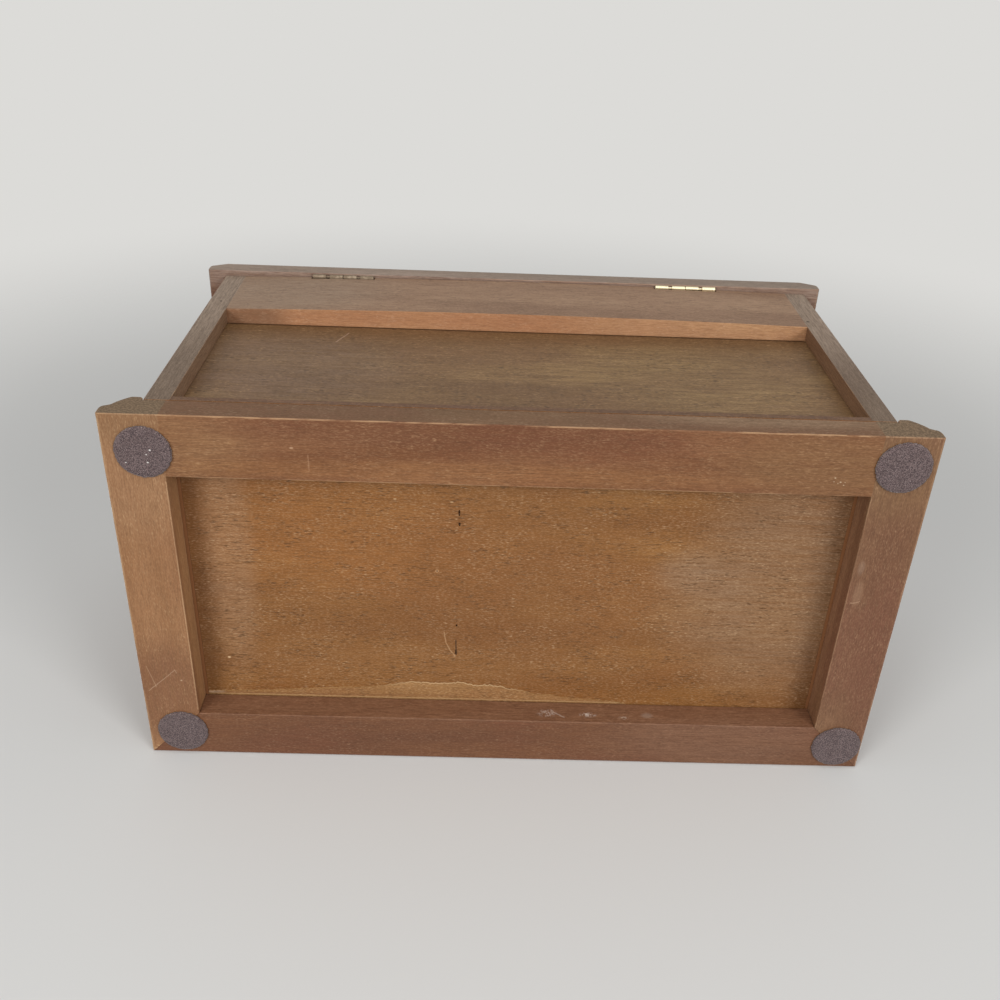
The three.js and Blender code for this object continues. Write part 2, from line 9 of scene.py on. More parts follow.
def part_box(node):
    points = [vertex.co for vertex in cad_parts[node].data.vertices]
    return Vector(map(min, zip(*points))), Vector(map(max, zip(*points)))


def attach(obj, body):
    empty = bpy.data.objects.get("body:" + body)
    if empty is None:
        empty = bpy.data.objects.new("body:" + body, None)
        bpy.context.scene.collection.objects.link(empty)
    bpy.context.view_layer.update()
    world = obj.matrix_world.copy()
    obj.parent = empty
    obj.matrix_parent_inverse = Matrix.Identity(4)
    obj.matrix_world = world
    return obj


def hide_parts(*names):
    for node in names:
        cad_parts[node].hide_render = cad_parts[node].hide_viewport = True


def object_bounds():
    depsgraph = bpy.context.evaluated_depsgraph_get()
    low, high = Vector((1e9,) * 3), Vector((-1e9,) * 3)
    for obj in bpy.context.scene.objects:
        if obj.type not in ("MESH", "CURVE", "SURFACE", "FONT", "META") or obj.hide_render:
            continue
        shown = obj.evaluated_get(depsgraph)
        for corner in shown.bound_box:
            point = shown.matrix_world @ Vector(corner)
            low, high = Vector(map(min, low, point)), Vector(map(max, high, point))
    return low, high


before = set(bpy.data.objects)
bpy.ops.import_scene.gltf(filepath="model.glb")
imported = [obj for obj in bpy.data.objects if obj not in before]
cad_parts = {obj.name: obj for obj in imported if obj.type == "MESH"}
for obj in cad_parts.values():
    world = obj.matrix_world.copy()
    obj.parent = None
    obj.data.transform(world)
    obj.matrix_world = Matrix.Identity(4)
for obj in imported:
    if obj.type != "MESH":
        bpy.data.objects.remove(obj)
solids_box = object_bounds()

# Plinth: three lengths of moulding, mitred at the front corners, and a plain back rail butted
# between the two side lengths. Hardwood under a brown stain and a thin satin lacquer, glued up,
# with the arrises taken off by hand and since rubbed pale in places.
mm = 0.001


def linear(hex_colour):
    """A colour written as #rrggbb, as the linear values that a shader takes"""
    channels = [int(hex_colour[i:i + 2], 16) / 255 for i in (1, 3, 5)]
    return [c / 12.92 if c <= 0.04045 else ((c + 0.055) / 1.055) ** 2.4 for c in channels] + [1.0]


def add(tree, kind, inputs=(), **settings):
    """A shader node with its settings made and its inputs set or linked"""
    made = tree.nodes.new(kind)
    for key, value in settings.items():
        setattr(made, key, value)
    for key, value in dict(inputs).items():
        if isinstance(value, bpy.types.NodeSocket):
            tree.links.new(value, made.inputs[key])
        else:
            made.inputs[key].default_value = value
    return made


def mixed(tree, share, first, second):
    """The first colour turned towards the second by a share"""
    return add(tree, "ShaderNodeMix", {0: share, 6: first, 7: second}, data_type="RGBA").outputs[2]


def scaled(colour, share):
    """A linear colour with a share of its light"""
    return [c * share for c in colour[:3]] + [1.0]


def ranged(tree, value, low, high, at_low, at_high, course="LINEAR"):
    """A number that runs from one value at low to another at high"""
    return add(tree, "ShaderNodeMapRange", {
        "Value": value, "From Min": low, "From Max": high, "To Min": at_low, "To Max": at_high,
    }, interpolation_type=course).outputs[0]


def stepped(tree, value, low, high, top=1.0):
    """A soft step from nothing at low to top at high"""
    return ranged(tree, value, low, high, 0.0, top, "SMOOTHSTEP")


def combined(tree, kind, first, second):
    """One number worked out from two"""
    return add(tree, "ShaderNodeMath", {0: first, 1: second}, operation=kind).outputs[0]


def vector(tree, kind, inputs, out=0):
    """What one step of working with places gives"""
    return add(tree, "ShaderNodeVectorMath", inputs, operation=kind).outputs[out]


def mottle(tree, place, across, detail=2.0, along=None, run="X", offset=0.0):
    """Noise in blots so many millimetres across, and longer along the run if along is given"""
    stretch = [1 / (across * mm)] * 3
    if along:
        stretch["XYZ".index(run)] = 1 / (along * mm)
    spot = add(tree, "ShaderNodeMapping", {
        "Vector": place, "Location": (offset, offset * 0.7, offset * 1.3), "Scale": stretch})
    return add(tree, "ShaderNodeTexNoise", {
        "Vector": spot.outputs[0], "Scale": 1.0, "Detail": detail}).outputs[0]


def scratch(tree, place, points, width, share):
    """The share of a fine line drawn through some points, given in millimetres"""
    line = 0.0
    for start, end in zip(points, points[1:]):
        run = Vector(end) - Vector(start)
        per_length = run / (run.length_squared * mm)
        offset = vector(tree, "SUBTRACT", {0: place, 1: Vector(start) * mm})
        along = vector(tree, "DOT_PRODUCT", {0: offset, 1: per_length}, "Value")
        along = add(tree, "ShaderNodeClamp", {"Value": along}).outputs[0]
        nearest = vector(tree, "SCALE", {0: run * mm, "Scale": along})
        away = vector(tree, "DISTANCE", {0: offset, 1: nearest}, "Value")
        stroke = stepped(tree, away, width * mm, width * 0.3 * mm, share)
        line = combined(tree, "MAXIMUM", line, stroke)
    return line


def patch(tree, place, middle, reach, share, ragged=False):
    """The share of a soft patch round a point, with a reach along each axis, whole or broken up"""
    spot = add(tree, "ShaderNodeMapping", {
        "Vector": place, "Location": [-m / r for m, r in zip(middle, reach)],
        "Scale": [1 / (r * mm) for r in reach]})
    away = vector(tree, "LENGTH", {0: spot.outputs[0]}, "Value")
    if not ragged:
        return stepped(tree, away, 1.0, 0.35, share)
    broken = stepped(tree, mottle(tree, place, 0.8, 4), 0.44, 0.58)
    return combined(tree, "MULTIPLY", stepped(tree, away, 1.0, 0.3, share), broken)


def unfinished(name):
    """A new material with nothing in it yet, and the place on the piece that its pattern follows"""
    material = bpy.data.materials.new(name)
    material.use_nodes = True
    tree = material.node_tree
    tree.nodes.clear()
    return material, tree, add(tree, "ShaderNodeTexCoord").outputs["Object"]


def surfaced(tree, settings):
    """Ends a material in a surface with these settings"""
    shader = add(tree, "ShaderNodeBsdfPrincipled", settings)
    add(tree, "ShaderNodeOutputMaterial", {0: shader.outputs[0]})


def wood(name, run, tones, shift=0.0, pores=0.4, flecks=0.35, grit=0.3, sheen=0.5, worn=0.0,
         corner_shade=0.25, streaking=0.3, marks=()):
    """Stained wood with its fibres along one axis. The tones are the dark and light of the
    figure, a redder cloud, the pale fleck and the end grain. Each mark is a line, a patch or a
    torn patch on the surface, or a stain in the wood under its grain. Every mottle is given in
    millimetres across and along the fibres"""
    dark, light, cloud, pale, end = [linear(tone) for tone in tones]
    pore_dark = scaled(dark, 0.4)
    material, tree, place = unfinished(name)

    figure = mottle(tree, place, 16, 2, 120, run, shift)
    colour = mixed(tree, stepped(tree, figure, 0.32, 0.68), dark, light)
    clouds = mottle(tree, place, 30, 2, 55, run, shift + 5)
    colour = mixed(tree, stepped(tree, clouds, 0.44, 0.64, 0.7), colour, cloud)
    for kind, where, reach, tone, share in marks:
        if kind == "tinge":
            colour = mixed(tree, patch(tree, place, where, reach, share), colour, linear(tone))
    streaks = mottle(tree, place, 1.1, 3, 26, run, shift + 41)
    colour = mixed(tree, stepped(tree, streaks, 0.40, 0.66, streaking), colour, dark)
    fibres = mottle(tree, place, 0.45, 3, 6, run, shift + 9)
    colour = mixed(tree, stepped(tree, fibres, 0.40, 0.64, 0.44), colour, scaled(dark, 0.7))
    gathered = stepped(tree, mottle(tree, place, 9, 2, 16, run, shift + 13), 0.38, 0.60)
    dashes = stepped(tree, mottle(tree, place, 0.42, 1, 2.6, run, shift + 17), 0.55, 0.70, pores)
    open_pores = combined(tree, "MULTIPLY", dashes, gathered)
    colour = mixed(tree, open_pores, colour, pore_dark)
    strewn = stepped(tree, mottle(tree, place, 7, 2, 11, run, shift + 21), 0.36, 0.60)
    glints = stepped(tree, mottle(tree, place, 0.38, 2, 1.6, run, shift + 23), 0.56, 0.72, flecks)
    colour = mixed(tree, combined(tree, "MULTIPLY", glints, strewn), colour, pale)
    specks = mottle(tree, place, 0.36, 2, 1.1, run, shift + 33)
    colour = mixed(tree, stepped(tree, specks, 0.51, 0.66, grit), colour, pale)
    colour = mixed(tree, stepped(tree, specks, 0.49, 0.34, grit * 1.3), colour, pore_dark)

    facing = add(tree, "ShaderNodeSeparateXYZ", {0: place.node.outputs["Normal"]})
    end_on = combined(tree, "ABSOLUTE", facing.outputs["XYZ".index(run)], 0.0)
    cut_fibres = mottle(tree, place, 0.7, 4, offset=shift + 27)
    end_share = stepped(tree, cut_fibres, 0.36, 0.66)
    end_tone = mixed(tree, end_share, scaled(end, 0.65), scaled(end, 1.25))
    colour = mixed(tree, stepped(tree, end_on, 0.75, 0.95, 0.9), colour, end_tone)
    if worn:
        rubbed = mottle(tree, place, 1.4, 3, 9, run, shift + 31)
        held = stepped(tree, mottle(tree, place, 34, 1, 34, run, shift + 37), 0.32, 0.50, worn)
        rubbed = combined(tree, "MULTIPLY", stepped(tree, rubbed, 0.36, 0.54), held)
        colour = mixed(tree, rubbed, colour, pale)
    if any(mark[0] == "line" for mark in marks):
        swerve = 0.25 * mm
        wander = add(tree, "ShaderNodeTexNoise", {"Vector": place, "Scale": 700.0, "Detail": 2.0})
        wander = vector(tree, "SCALE", {0: wander.outputs["Color"], "Scale": 2 * swerve})
        marked_at = vector(tree, "ADD", {0: place, 1: wander})
        marked_at = vector(tree, "SUBTRACT", {0: marked_at, 1: (swerve,) * 3})
    for kind, where, reach, tone, share in marks:
        if kind == "tinge":
            continue
        if kind == "line":
            cover = scratch(tree, marked_at, where, reach, share)
        else:
            cover = patch(tree, place, where, reach, share, kind == "torn")
        colour = mixed(tree, cover, colour, linear(tone))
    # Painted shade: the colour darkens towards the pore tone in corners and narrow gaps.
    corners = add(tree, "ShaderNodeAmbientOcclusion", {"Distance": 1.6 * mm}, samples=8)
    corner_shade_share = ranged(tree, corners.outputs["AO"], 0.3, 0.9, corner_shade, 0.0)
    colour = mixed(tree, corner_shade_share, colour, pore_dark)

    end_matt = 0.9
    gloss = ranged(tree, fibres, 0.3, 0.7, sheen - 0.05, sheen + 0.08)
    gloss = add(tree, "ShaderNodeMix", {
        0: stepped(tree, end_on, 0.75, 0.95), 2: gloss, 3: end_matt}).outputs[0]
    hollow = combined(tree, "SUBTRACT", fibres, open_pores)
    bump = add(tree, "ShaderNodeBump", {"Height": hollow, "Strength": 0.3, "Distance": 0.08 * mm})
    surfaced(tree, {"Base Color": colour, "Roughness": gloss, "Normal": bump.outputs[0],
                    "Specular IOR Level": 0.35})
    return material


def fitted(name, work, materials, body, node=None, sharp=None):
    """A piece made from its worked mesh, fitted to the body that it moves with, and standing for
    a solid if one is named. It is shaded smooth up to an angle in degrees if that is given"""
    mesh = bpy.data.meshes.new(name)
    work.to_mesh(mesh)
    work.free()
    for material in materials:
        mesh.materials.append(material)
    if sharp:
        mesh.shade_smooth()
        mesh.set_sharp_from_angle(angle=math.radians(sharp))
    piece = bpy.data.objects.new(name, mesh)
    bpy.context.collection.objects.link(piece)
    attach(piece, body)
    if node:
        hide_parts(node)
    return piece


def eased(node, suffix, ease, body, materials, facets=2, square=None, close=(), split=()):
    """A copy of a sawn piece with its outer arrises rounded over, which stands for that piece.
    The second material is for the arrises. Those that lie in a joint stay square, a joint's glue
    line can be closed, and a face can be split at a level so that its parts differ"""
    same_point, on_plane, on_joint = 1e-6, 1e-7, 0.03 * mm
    flat_angle, arris_angle, crisp_degrees = math.radians(0.05), math.radians(24), 32
    work = bmesh.new()
    work.from_mesh(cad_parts[node].data)
    bmesh.ops.remove_doubles(work, verts=work.verts, dist=same_point)
    bmesh.ops.dissolve_limit(work, angle_limit=flat_angle, verts=work.verts, edges=work.edges)
    for axis, old, new in close:
        for vert in work.verts:
            if abs(vert.co[axis] - old * mm) < on_joint:
                vert.co[axis] = new * mm
    for axis, level in split:
        at, across = Vector((0, 0, 0)), Vector((0, 0, 0))
        at[axis], across[axis] = level * mm, 1.0
        bmesh.ops.bisect_plane(work, geom=work.verts[:] + work.edges[:] + work.faces[:],
                               dist=on_plane, plane_co=at, plane_no=across)
    arrises = [e for e in work.edges
               if len(e.link_faces) == 2 and e.is_convex and e.calc_face_angle() > arris_angle
               and not (square and all(square(spot / mm) for spot in (
                   e.verts[0].co, e.verts[1].co, (e.verts[0].co + e.verts[1].co) / 2)))]
    bmesh.ops.bevel(work, geom=arrises, offset=ease * mm, offset_type="OFFSET", segments=facets,
                    profile=0.5, affect="EDGES", clamp_overlap=True, material=1)
    if len(materials) == 1:
        materials = materials * 2
    piece = fitted(node + suffix, work, materials, body, node, crisp_degrees)
    settle = piece.modifiers.new("even_shading", "WEIGHTED_NORMAL")
    settle.keep_sharp = True
    return piece


plinth_low, plinth_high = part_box("base_front_rail")
back_low, back_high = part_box("base_back_rail")
half_width, front_edge = plinth_high.x / mm, plinth_low.y / mm
inner_edge, back_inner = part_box("base_right_rail")[0].x / mm, back_low.y / mm
end_grain = "#7c6852"
mitre_reach, joint_reach, edge_reach = 0.4, 0.15, 0.05
square_on, face_depth, glue_line = 0.97, 0.1 * mm, 0.1


def plinth_joint(spot):
    """Whether a point is in a mitre, or where a side rail meets the back rail"""
    in_mitre = abs((half_width - abs(spot.x)) - (spot.y - front_edge)) < mitre_reach
    at_back = abs(abs(spot.x) - inner_edge) < joint_reach and spot.y > back_inner - edge_reach
    return in_mitre or at_back


rail_marks = {
    "base_right_rail": (
        ("tinge", (126, -44, 1), (24, 34, 6), "#6a3e2a", 0.6),
        ("tinge", (128, 46, 1), (26, 30, 6), "#ac8460", 0.55),
        ("tinge", (128, 70, 1), (26, 16, 6), "#8a6a4a", 0.6),
        # Painted light: the rail's inner wall is lightened all along, where light falls on it.
        ("tinge", (115.4, 0, 8), (1, 90, 7), "#b88c60", 0.7),
        ("line", ((132.2, -31, 1), (130.6, -37, 1), (129.7, -40.7, 1)), 0.25, "#c9a684", 0.32),
        ("line", ((132.6, -42.5, 1), (126.5, -36.8, 1), (122, -32.5, 1), (121.6, -33.9, 1)),
         0.25, "#d0b092", 0.35),
        ("patch", (120.2, -37.3, 1), (0.45, 0.45, 1), "#d8bc9c", 0.6),
        ("line", ((115.6, 46, 1.1), (115.5, 10, 1.2), (115.6, -51, 1.1)), 0.35, "#cfa680", 0.35),
        ("torn", (129.5, -70.8, 1), (7, 2.6, 2.5), "#dcb486", 0.9)),
    "base_left_rail": (
        ("line", ((-117.1, 5.1, 1), (-118.8, 5.2, 1), (-120.3, 5.8, 1)), 0.3, "#c8a484", 0.45),
        ("patch", (-119.0, 9.0, 1), (2.2, 7.0, 1), "#a8866a", 0.28),
        ("patch", (-118.0, 19.8, 1), (1.6, 4.0, 1), "#a8907c", 0.22),
        ("tinge", (-124, 58, 1), (24, 26, 6), "#8a6a48", 0.6),
        # Painted light: the inner wall is lighter towards the panel, for light thrown back off it.
        ("tinge", (-115.4, 0, 9.5), (1, 80, 4.6), "#9a7052", 0.7)),
    "base_back_rail": (
        ("line", ((68.9, 57.5, 1), (68.8, 52, 1)), 0.3, "#c49a78", 0.25),
        ("patch", (74.1, 59.9, 1), (0.9, 0.5, 1), "#cca482", 0.6),
        *(("patch", (x, y, 1), (size, size * 0.8, 1), "#dcc4a4", 0.6) for x, y, size in (
            (-102.2, 54.7, 0.4), (-102.0, 53.3, 0.3), (-103.4, 52.7, 0.25), (-104.2, 53.2, 0.45),
            (-105.7, 53.1, 0.25), (-105.4, 52.1, 0.35))),
        ("tinge", (112, 60, 1), (34, 18, 4), "#9a724c", 0.7),
        ("tinge", (-96, 58, 1), (44, 18, 4), "#84603e", 0.7),
        ("tinge", (20, 67, 1), (110, 9, 4), "#663c28", 0.55),
        ("tinge", (20, 52, 1), (130, 6, 4), "#a87648", 0.4)),
    "base_front_rail": (
        # Painted light: the rail's inner face is lightened, where light falls on it.
        ("tinge", (0, -52.9, 7), (240, 1, 12), "#845e45", 0.95),
        ("tinge", (-80, -60, 1), (60, 20, 6), "#8a6650", 0.5),
        ("torn", (-14.4, -52.9, 5.6), (4.6, 1, 2.8), "#cdbfb4", 0.45),
        ("line", ((-16, -52.9, 7.6), (-17.4, -52.9, 6.0), (-20.8, -52.9, 3.6)),
         0.4, "#c8baae", 0.35),
        ("torn", (-30.1, -52.9, 5.2), (4.2, 1, 1.8), "#cdbfb4", 0.6),
        ("patch", (-29.7, -52.9, 5.4), (1.0, 1, 0.7), "#d8ccc0", 0.6),
        ("torn", (-43.4, -52.9, 4.0), (2.6, 1, 1.2), "#c8b8a8", 0.45),
        ("patch", (-52.5, -52.9, 5.6), (3.0, 1, 2.0), "#b8a898", 0.25))}


def turn_dust_and_sheen(piece, back):
    """Gives the faces at the very back of a piece its third material, of dust and painted sheen"""
    for side in piece.data.polygons:
        if side.normal.y > square_on and side.center.y > back - face_depth:
            side.material_index = 2


def ends_closed(reach):
    """Both ends of a cross rail moved out to a reach, so that its glue lines close"""
    return (0, glue_line - reach, -reach), (0, reach - glue_line, reach)


# Painted sheen: the back faces get greyer, paler tones for glancing light as well as dust.
dust_and_sheen_base = ("#6e5137", "#816045", "#734f38", "#b0967a", end_grain)
base_dust_and_sheen = (("tinge", (-80, 70, 12), (64, 8, 10), "#a08468", 0.6),)
for node, run, tones, shift, worn in (
        ("base_back_rail", "X", ("#764a2c", "#8e6140", "#7a4a30", "#c8a078", end_grain), 3.1, 0.55),
        ("base_right_rail", "Y", ("#946844", "#aa7c56", "#8c5e3e", "#cfaa80", end_grain), 11.7,
         0.35),
        ("base_left_rail", "Y", ("#765038", "#846044", "#7a4e3a", "#c29c78", end_grain), 19.3, 0.3),
        ("base_front_rail", "X", ("#6c442c", "#7e5234", "#74462e", "#b89272", end_grain), 27.9, 0)):
    lacquer = dict(pores=0.3, flecks=0.3, grit=0.12, marks=rail_marks[node])
    whole = wood(node + "_stain", run, tones, shift, **lacquer)
    rubbed = wood(node + "_arris", run, tones, shift, worn=worn, **lacquer)
    dust_and_sheen = wood(node + "_dusty_back", run, dust_and_sheen_base, shift + 2, pores=0.5, flecks=0.35,
                 grit=0.16, sheen=0.68, marks=base_dust_and_sheen)
    crosswise = run == "X"
    rail = eased(node, "_wood", 0.4, "case", [whole, rubbed, dust_and_sheen],
                 square=plinth_joint, close=ends_closed(inner_edge) if crosswise else (),
                 split=() if crosswise else ((1, back_inner),))
    turn_dust_and_sheen(rail, back_high.y)

# Bottom panel: thin plywood under the body, with its face veneer turned down. The veneer has
# torn away along part of the front edge, where the pale layer beneath it shows.
veneer_thickness, veneer_feather = 0.2 * mm, 0.6 * mm
panel_low, panel_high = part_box("bottom_panel")
tear = (
    (114.3, -51.4), (95, -50.7), (72, -49.2), (57, -48), (49, -47.4), (41, -45.6), (37.7, -45),
    (30, -45.4), (24, -45), (17.6, -44.6), (13.8, -46.0), (8.1, -45.6), (2.7, -46.4), (0.5, -47.3),
    (-3, -47.6), (-9, -49.3), (-16, -49.8), (-24, -51.2), (-33, -51.6), (-44, -52.6), (-52, -60.7))
panel_marks = (
    # Painted sheen: two pale grey patches on the panel, the first brighter.
    ("tinge", (-62, 9, 12), (16, 12, 3), "#b8a48c", 0.22),
    ("tinge", (-68, -6, 12), (26, 30, 3), "#a68c70", 0.18),
    ("tinge", (60, 20, 12), (80, 34, 3), "#a46a34", 0.5),
    ("tinge", (101, 10, 12), (12, 70, 3), "#b89474", 0.35),
    # Painted shadow: dark bands along both side walls, where the rails shade the panel.
    ("tinge", (114, 0, 12), (12, 120, 3), "#5e3c24", 0.42),
    ("tinge", (-114, 0, 12), (15, 120, 3), "#5e3c24", 0.55),
    ("tinge", (-94, 4, 12), (42, 70, 3), "#967a60", 0.55),
    ("tinge", (6, 0, 12), (50, 70, 3), "#84542c", 0.45),
    ("tinge", (40, -38, 12), (80, 14, 3), "#9c6c3c", 0.5),
    ("line", ((25, -20.6, 12), (24.2, -25.6, 12), (22.7, -28.9, 12), (20.8, -31.6, 12)),
     0.34, "#cfa67c", 0.4),
    # A small hole with a pale ring round it; its dark centre is painted shade.
    ("patch", (27.7, 6.4, 12), (0.9, 0.9, 1), "#c79a6e", 0.8),
    ("patch", (27.7, 6.4, 12), (0.42, 0.42, 1), "#3a2416", 1.0),
    ("patch", (104.9, -34.8, 12), (0.8, 0.55, 1), "#e0bd92", 0.9),
    ("patch", (42.2, 35.6, 12), (0.8, 0.35, 1), "#d8b488", 0.7),
    ("patch", (22.8, 35.0, 12), (0.8, 0.35, 1), "#d8b488", 0.7))
ply_tones = ("#845529", "#9a6a38", "#8c5a2e", "#dcb890", "#8a6a48")
ply_face = wood("bottom_veneer_stain", "X", ply_tones, 41.3, pores=0.8, flecks=0.42, grit=0.15,
                streaking=0.42, marks=panel_marks)
raw_marks = (
    ("line", ((113, -52.5, 12.2), (50, -52.6, 12.2), (0, -52.5, 12.2), (-50, -52.6, 12.2)),
     0.35, "#d0a878", 0.5),
    ("patch", (112, -51.6, 12.2), (5, 1.2, 1), "#d8b898", 0.7),
    ("line", ((112, -52.0, 12.2), (60, -51.6, 12.2), (20, -51.0, 12.2)), 0.5, "#7c5234", 0.4))
raw_tones = ("#9a6e40", "#b48858", "#9a6a40", "#d8b084", "#a8865a")
ply_raw = wood("bottom_torn_layer", "X", raw_tones, 47.1, pores=0.6, flecks=0.5, grit=0.25,
               sheen=0.75, corner_shade=0.2, marks=raw_marks)
torn_marks = (
    ("patch", (20, -46, 12), (34, 6, 3), "#ecca9c", 0.7),
    ("patch", (70, -49, 12), (12, 4, 3), "#c89c68", 0.5))
torn_tones = ("#a87a48", "#bc8e58", "#a67646", "#dcb484", "#a88058")
ply_torn = wood("bottom_veneer_tear", "X", torn_tones, 48.7, pores=0.3, flecks=0.5, grit=0.3,
                sheen=0.75, corner_shade=0.0, marks=torn_marks)
edge_tones = ("#5e4028", "#74523a", "#664430", "#9a7650", "#6a5238")
ply_edge = wood("bottom_panel_edge", "X", edge_tones, 49.9)


def rectangle(low, high):
    """The four corners of a box, seen from above"""
    return [(low.x, low.y), (high.x, low.y), (high.x, high.y), (low.x, high.y)]


def slab(name, outline, low, high, body, materials, edge_material=0, back_material=0,
         slope_in=None, node=None):
    """A flat sheet of any outline between two levels. Its edges can slope in over one stretch"""
    work = bmesh.new()
    face = work.faces.new([work.verts.new((x, y, low)) for x, y in outline])
    if face.normal.z > 0:
        face.normal_flip()
    grown = bmesh.ops.extrude_face_region(work, geom=[face])["geom"]
    bmesh.ops.translate(work, verts=[v for v in grown if isinstance(v, bmesh.types.BMVert)],
                        vec=(0, 0, high - low))
    for vert in work.verts:
        if slope_in and vert.co.z == low and slope_in(vert.co):
            vert.co.y += veneer_feather
    bmesh.ops.recalc_face_normals(work, faces=work.faces)
    for side in work.faces:
        if abs(side.normal.z) < square_on:
            facing_back = side.normal.y > 0.9 and side.calc_center_median().y > 0
            side.material_index = back_material if facing_back else edge_material
    return fitted(name, work, materials, body, node)


def in_tear(spot):
    """Whether a point of the veneer is on its torn edge"""
    return spot.y < -44 * mm and spot.x > -50 * mm and spot.x < panel_high.x - 0.1 * mm


jag_length, jag_depth = 0.7, 0.3
ragged = random.Random(7)
torn_edge = []
for (x0, y0), (x1, y1) in zip(tear, tear[1:]):
    steps = max(1, round(math.hypot(x1 - x0, y1 - y0) / jag_length))
    for i in range(steps):
        jag = ragged.uniform(-jag_depth, jag_depth) if torn_edge else 0
        torn_edge.append(((x0 + (x1 - x0) * i / steps) * mm,
                          (y0 + (y1 - y0) * i / steps + jag) * mm))
torn_edge.append((tear[-1][0] * mm, panel_low.y))
veneer_outline = torn_edge + [(panel_low.x, panel_low.y), (panel_low.x, panel_high.y),
                              (panel_high.x, panel_high.y)]
slab("bottom_panel_veneer", veneer_outline, panel_low.z, panel_low.z + veneer_thickness,
     "case", [ply_face, ply_torn, ply_edge], 1, 2, in_tear, "bottom_panel")
slab("bottom_panel_core", rectangle(panel_low, panel_high), panel_low.z + veneer_thickness,
     panel_high.z, "case", [ply_raw, ply_edge], 0, 1, node="bottom_panel")

# Staples: thin steel wire driven through the bottom panel into the partition, their crowns
# sunk level with the veneer. Two have drawn in so far that little but their legs shows.
steel, tree, place = unfinished("staple_steel")
rust = mottle(tree, place, 0.8, 3, offset=6)
tint = mixed(tree, stepped(tree, rust, 0.4, 0.62), linear("#5c4028"), linear("#3a2414"))
surfaced(tree, {"Base Color": tint, "Metallic": 0.3, "Roughness": 0.7})


def turns(sides):
    """The angles of so many points round a circle"""
    return [2 * math.pi * k / sides for k in range(sides)]


def skinned(work, rings):
    """Lays a skin over a row of rings, of which some may be a single point, and closes its ends"""
    for a, b in zip(rings, rings[1:]):
        around = max(len(a), len(b))
        for k in range(around):
            n = (k + 1) % around
            corners = [a[k % len(a)], a[n % len(a)], b[n % len(b)], b[k % len(b)]]
            work.faces.new([c for i, c in enumerate(corners) if c not in corners[:i]])
    for end in (rings[0][::-1], rings[-1]):
        if len(end) > 1:
            work.faces.new(end)
    bmesh.ops.recalc_face_normals(work, faces=work.faces)


def wire(name, points, radius, body, material, sides=8):
    """A round wire bent through some points, given in millimetres"""
    work = bmesh.new()
    rings = []
    for i, point in enumerate(points):
        ahead = Vector(points[min(i + 1, len(points) - 1)]) - Vector(points[max(i - 1, 0)])
        turn = ahead.to_track_quat("Z", "Y")
        rings.append([work.verts.new((Vector(point) + turn @ Vector((
            radius * math.cos(t), radius * math.sin(t), 0))) * mm) for t in turns(sides)])
    skinned(work, rings)
    fitted(name, work, [material], body, sharp=180)


wire_radius, leg_end, leg_top, shoulder = 0.24, 20, 12.5, 12.1
for i, (x0, y0, x1, y1, crown) in enumerate((
        (20.2, 30.6, 20.0, 26.1, 12.25), (20.4, -8.0, 20.5, -15.6, 12.28),
        (20.6, -24.1, 20.4, -31.0, 12.1))):
    wire(f"staple_{i + 1}", [
        (x0, y0, leg_end), (x0, y0, leg_top), (x0, y0 - 0.05, shoulder), (x0, y0 - 0.4, crown),
        ((x0 + x1) / 2, (y0 + y1) / 2, crown), (x1, y1 + 0.4, crown), (x1, y1 + 0.05, shoulder),
        (x1, y1, leg_top), (x1, y1, leg_end)], wire_radius, "case", steel)

# Painted shade: small dark discs at the staple legs stand for the shade in the pits there.
pit, tree, place = unfinished("staple_pit")
pit_shade_mottle = mottle(tree, place, 0.5, 3, offset=9)
tint = mixed(tree, stepped(tree, pit_shade_mottle, 0.4, 0.62), linear("#2a190d"), linear("#452a16"))
surfaced(tree, {"Base Color": tint, "Roughness": 0.9, "Specular IOR Level": 0.1})
dent_face, dent_floor = 11.985 * mm, 12.1 * mm
for i, (x, y, wide, long) in enumerate((
        (20.2, 30.7, 0.38, 1.3), (20.0, 26.2, 0.45, 0.75), (20.4, -17.4, 0.4, 0.5),
        (20.5, -29.6, 0.45, 1.4))):
    rim = [((x + wide * math.cos(t) * (0.8 + 0.2 * math.sin(3 * t + i))) * mm,
            (y + long * math.sin(t)) * mm) for t in turns(16)]
    slab(f"staple_dent_{i + 1}", rim, dent_face, dent_floor, "case", [pit])

# End boards: one board each side, its fibres upright, grooved and housed inside for the panels
# and the shelf. The back edges show beside the back panel, grey with dust and a painted sheen.
board_tones = ("#6e4c34", "#845e42", "#764e38", "#b8946e", "#6e4c30")
dust_and_sheen_tones = ("#685646", "#7e6c5c", "#6e5a4b", "#a89078", "#6c5a48")
rail_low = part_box("back_rail")[0]
body_back, upper_rail_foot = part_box("end_board_right")[1].y / mm, rail_low.z / mm
board_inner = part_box("end_board_right")[0].x / mm


def beside_rail(spot):
    """Whether a point is where an end board meets the back rail"""
    at_side = abs(abs(spot.x) - board_inner) < joint_reach
    in_height = spot.z > upper_rail_foot - edge_reach
    return at_side and in_height and spot.y > body_back - edge_reach


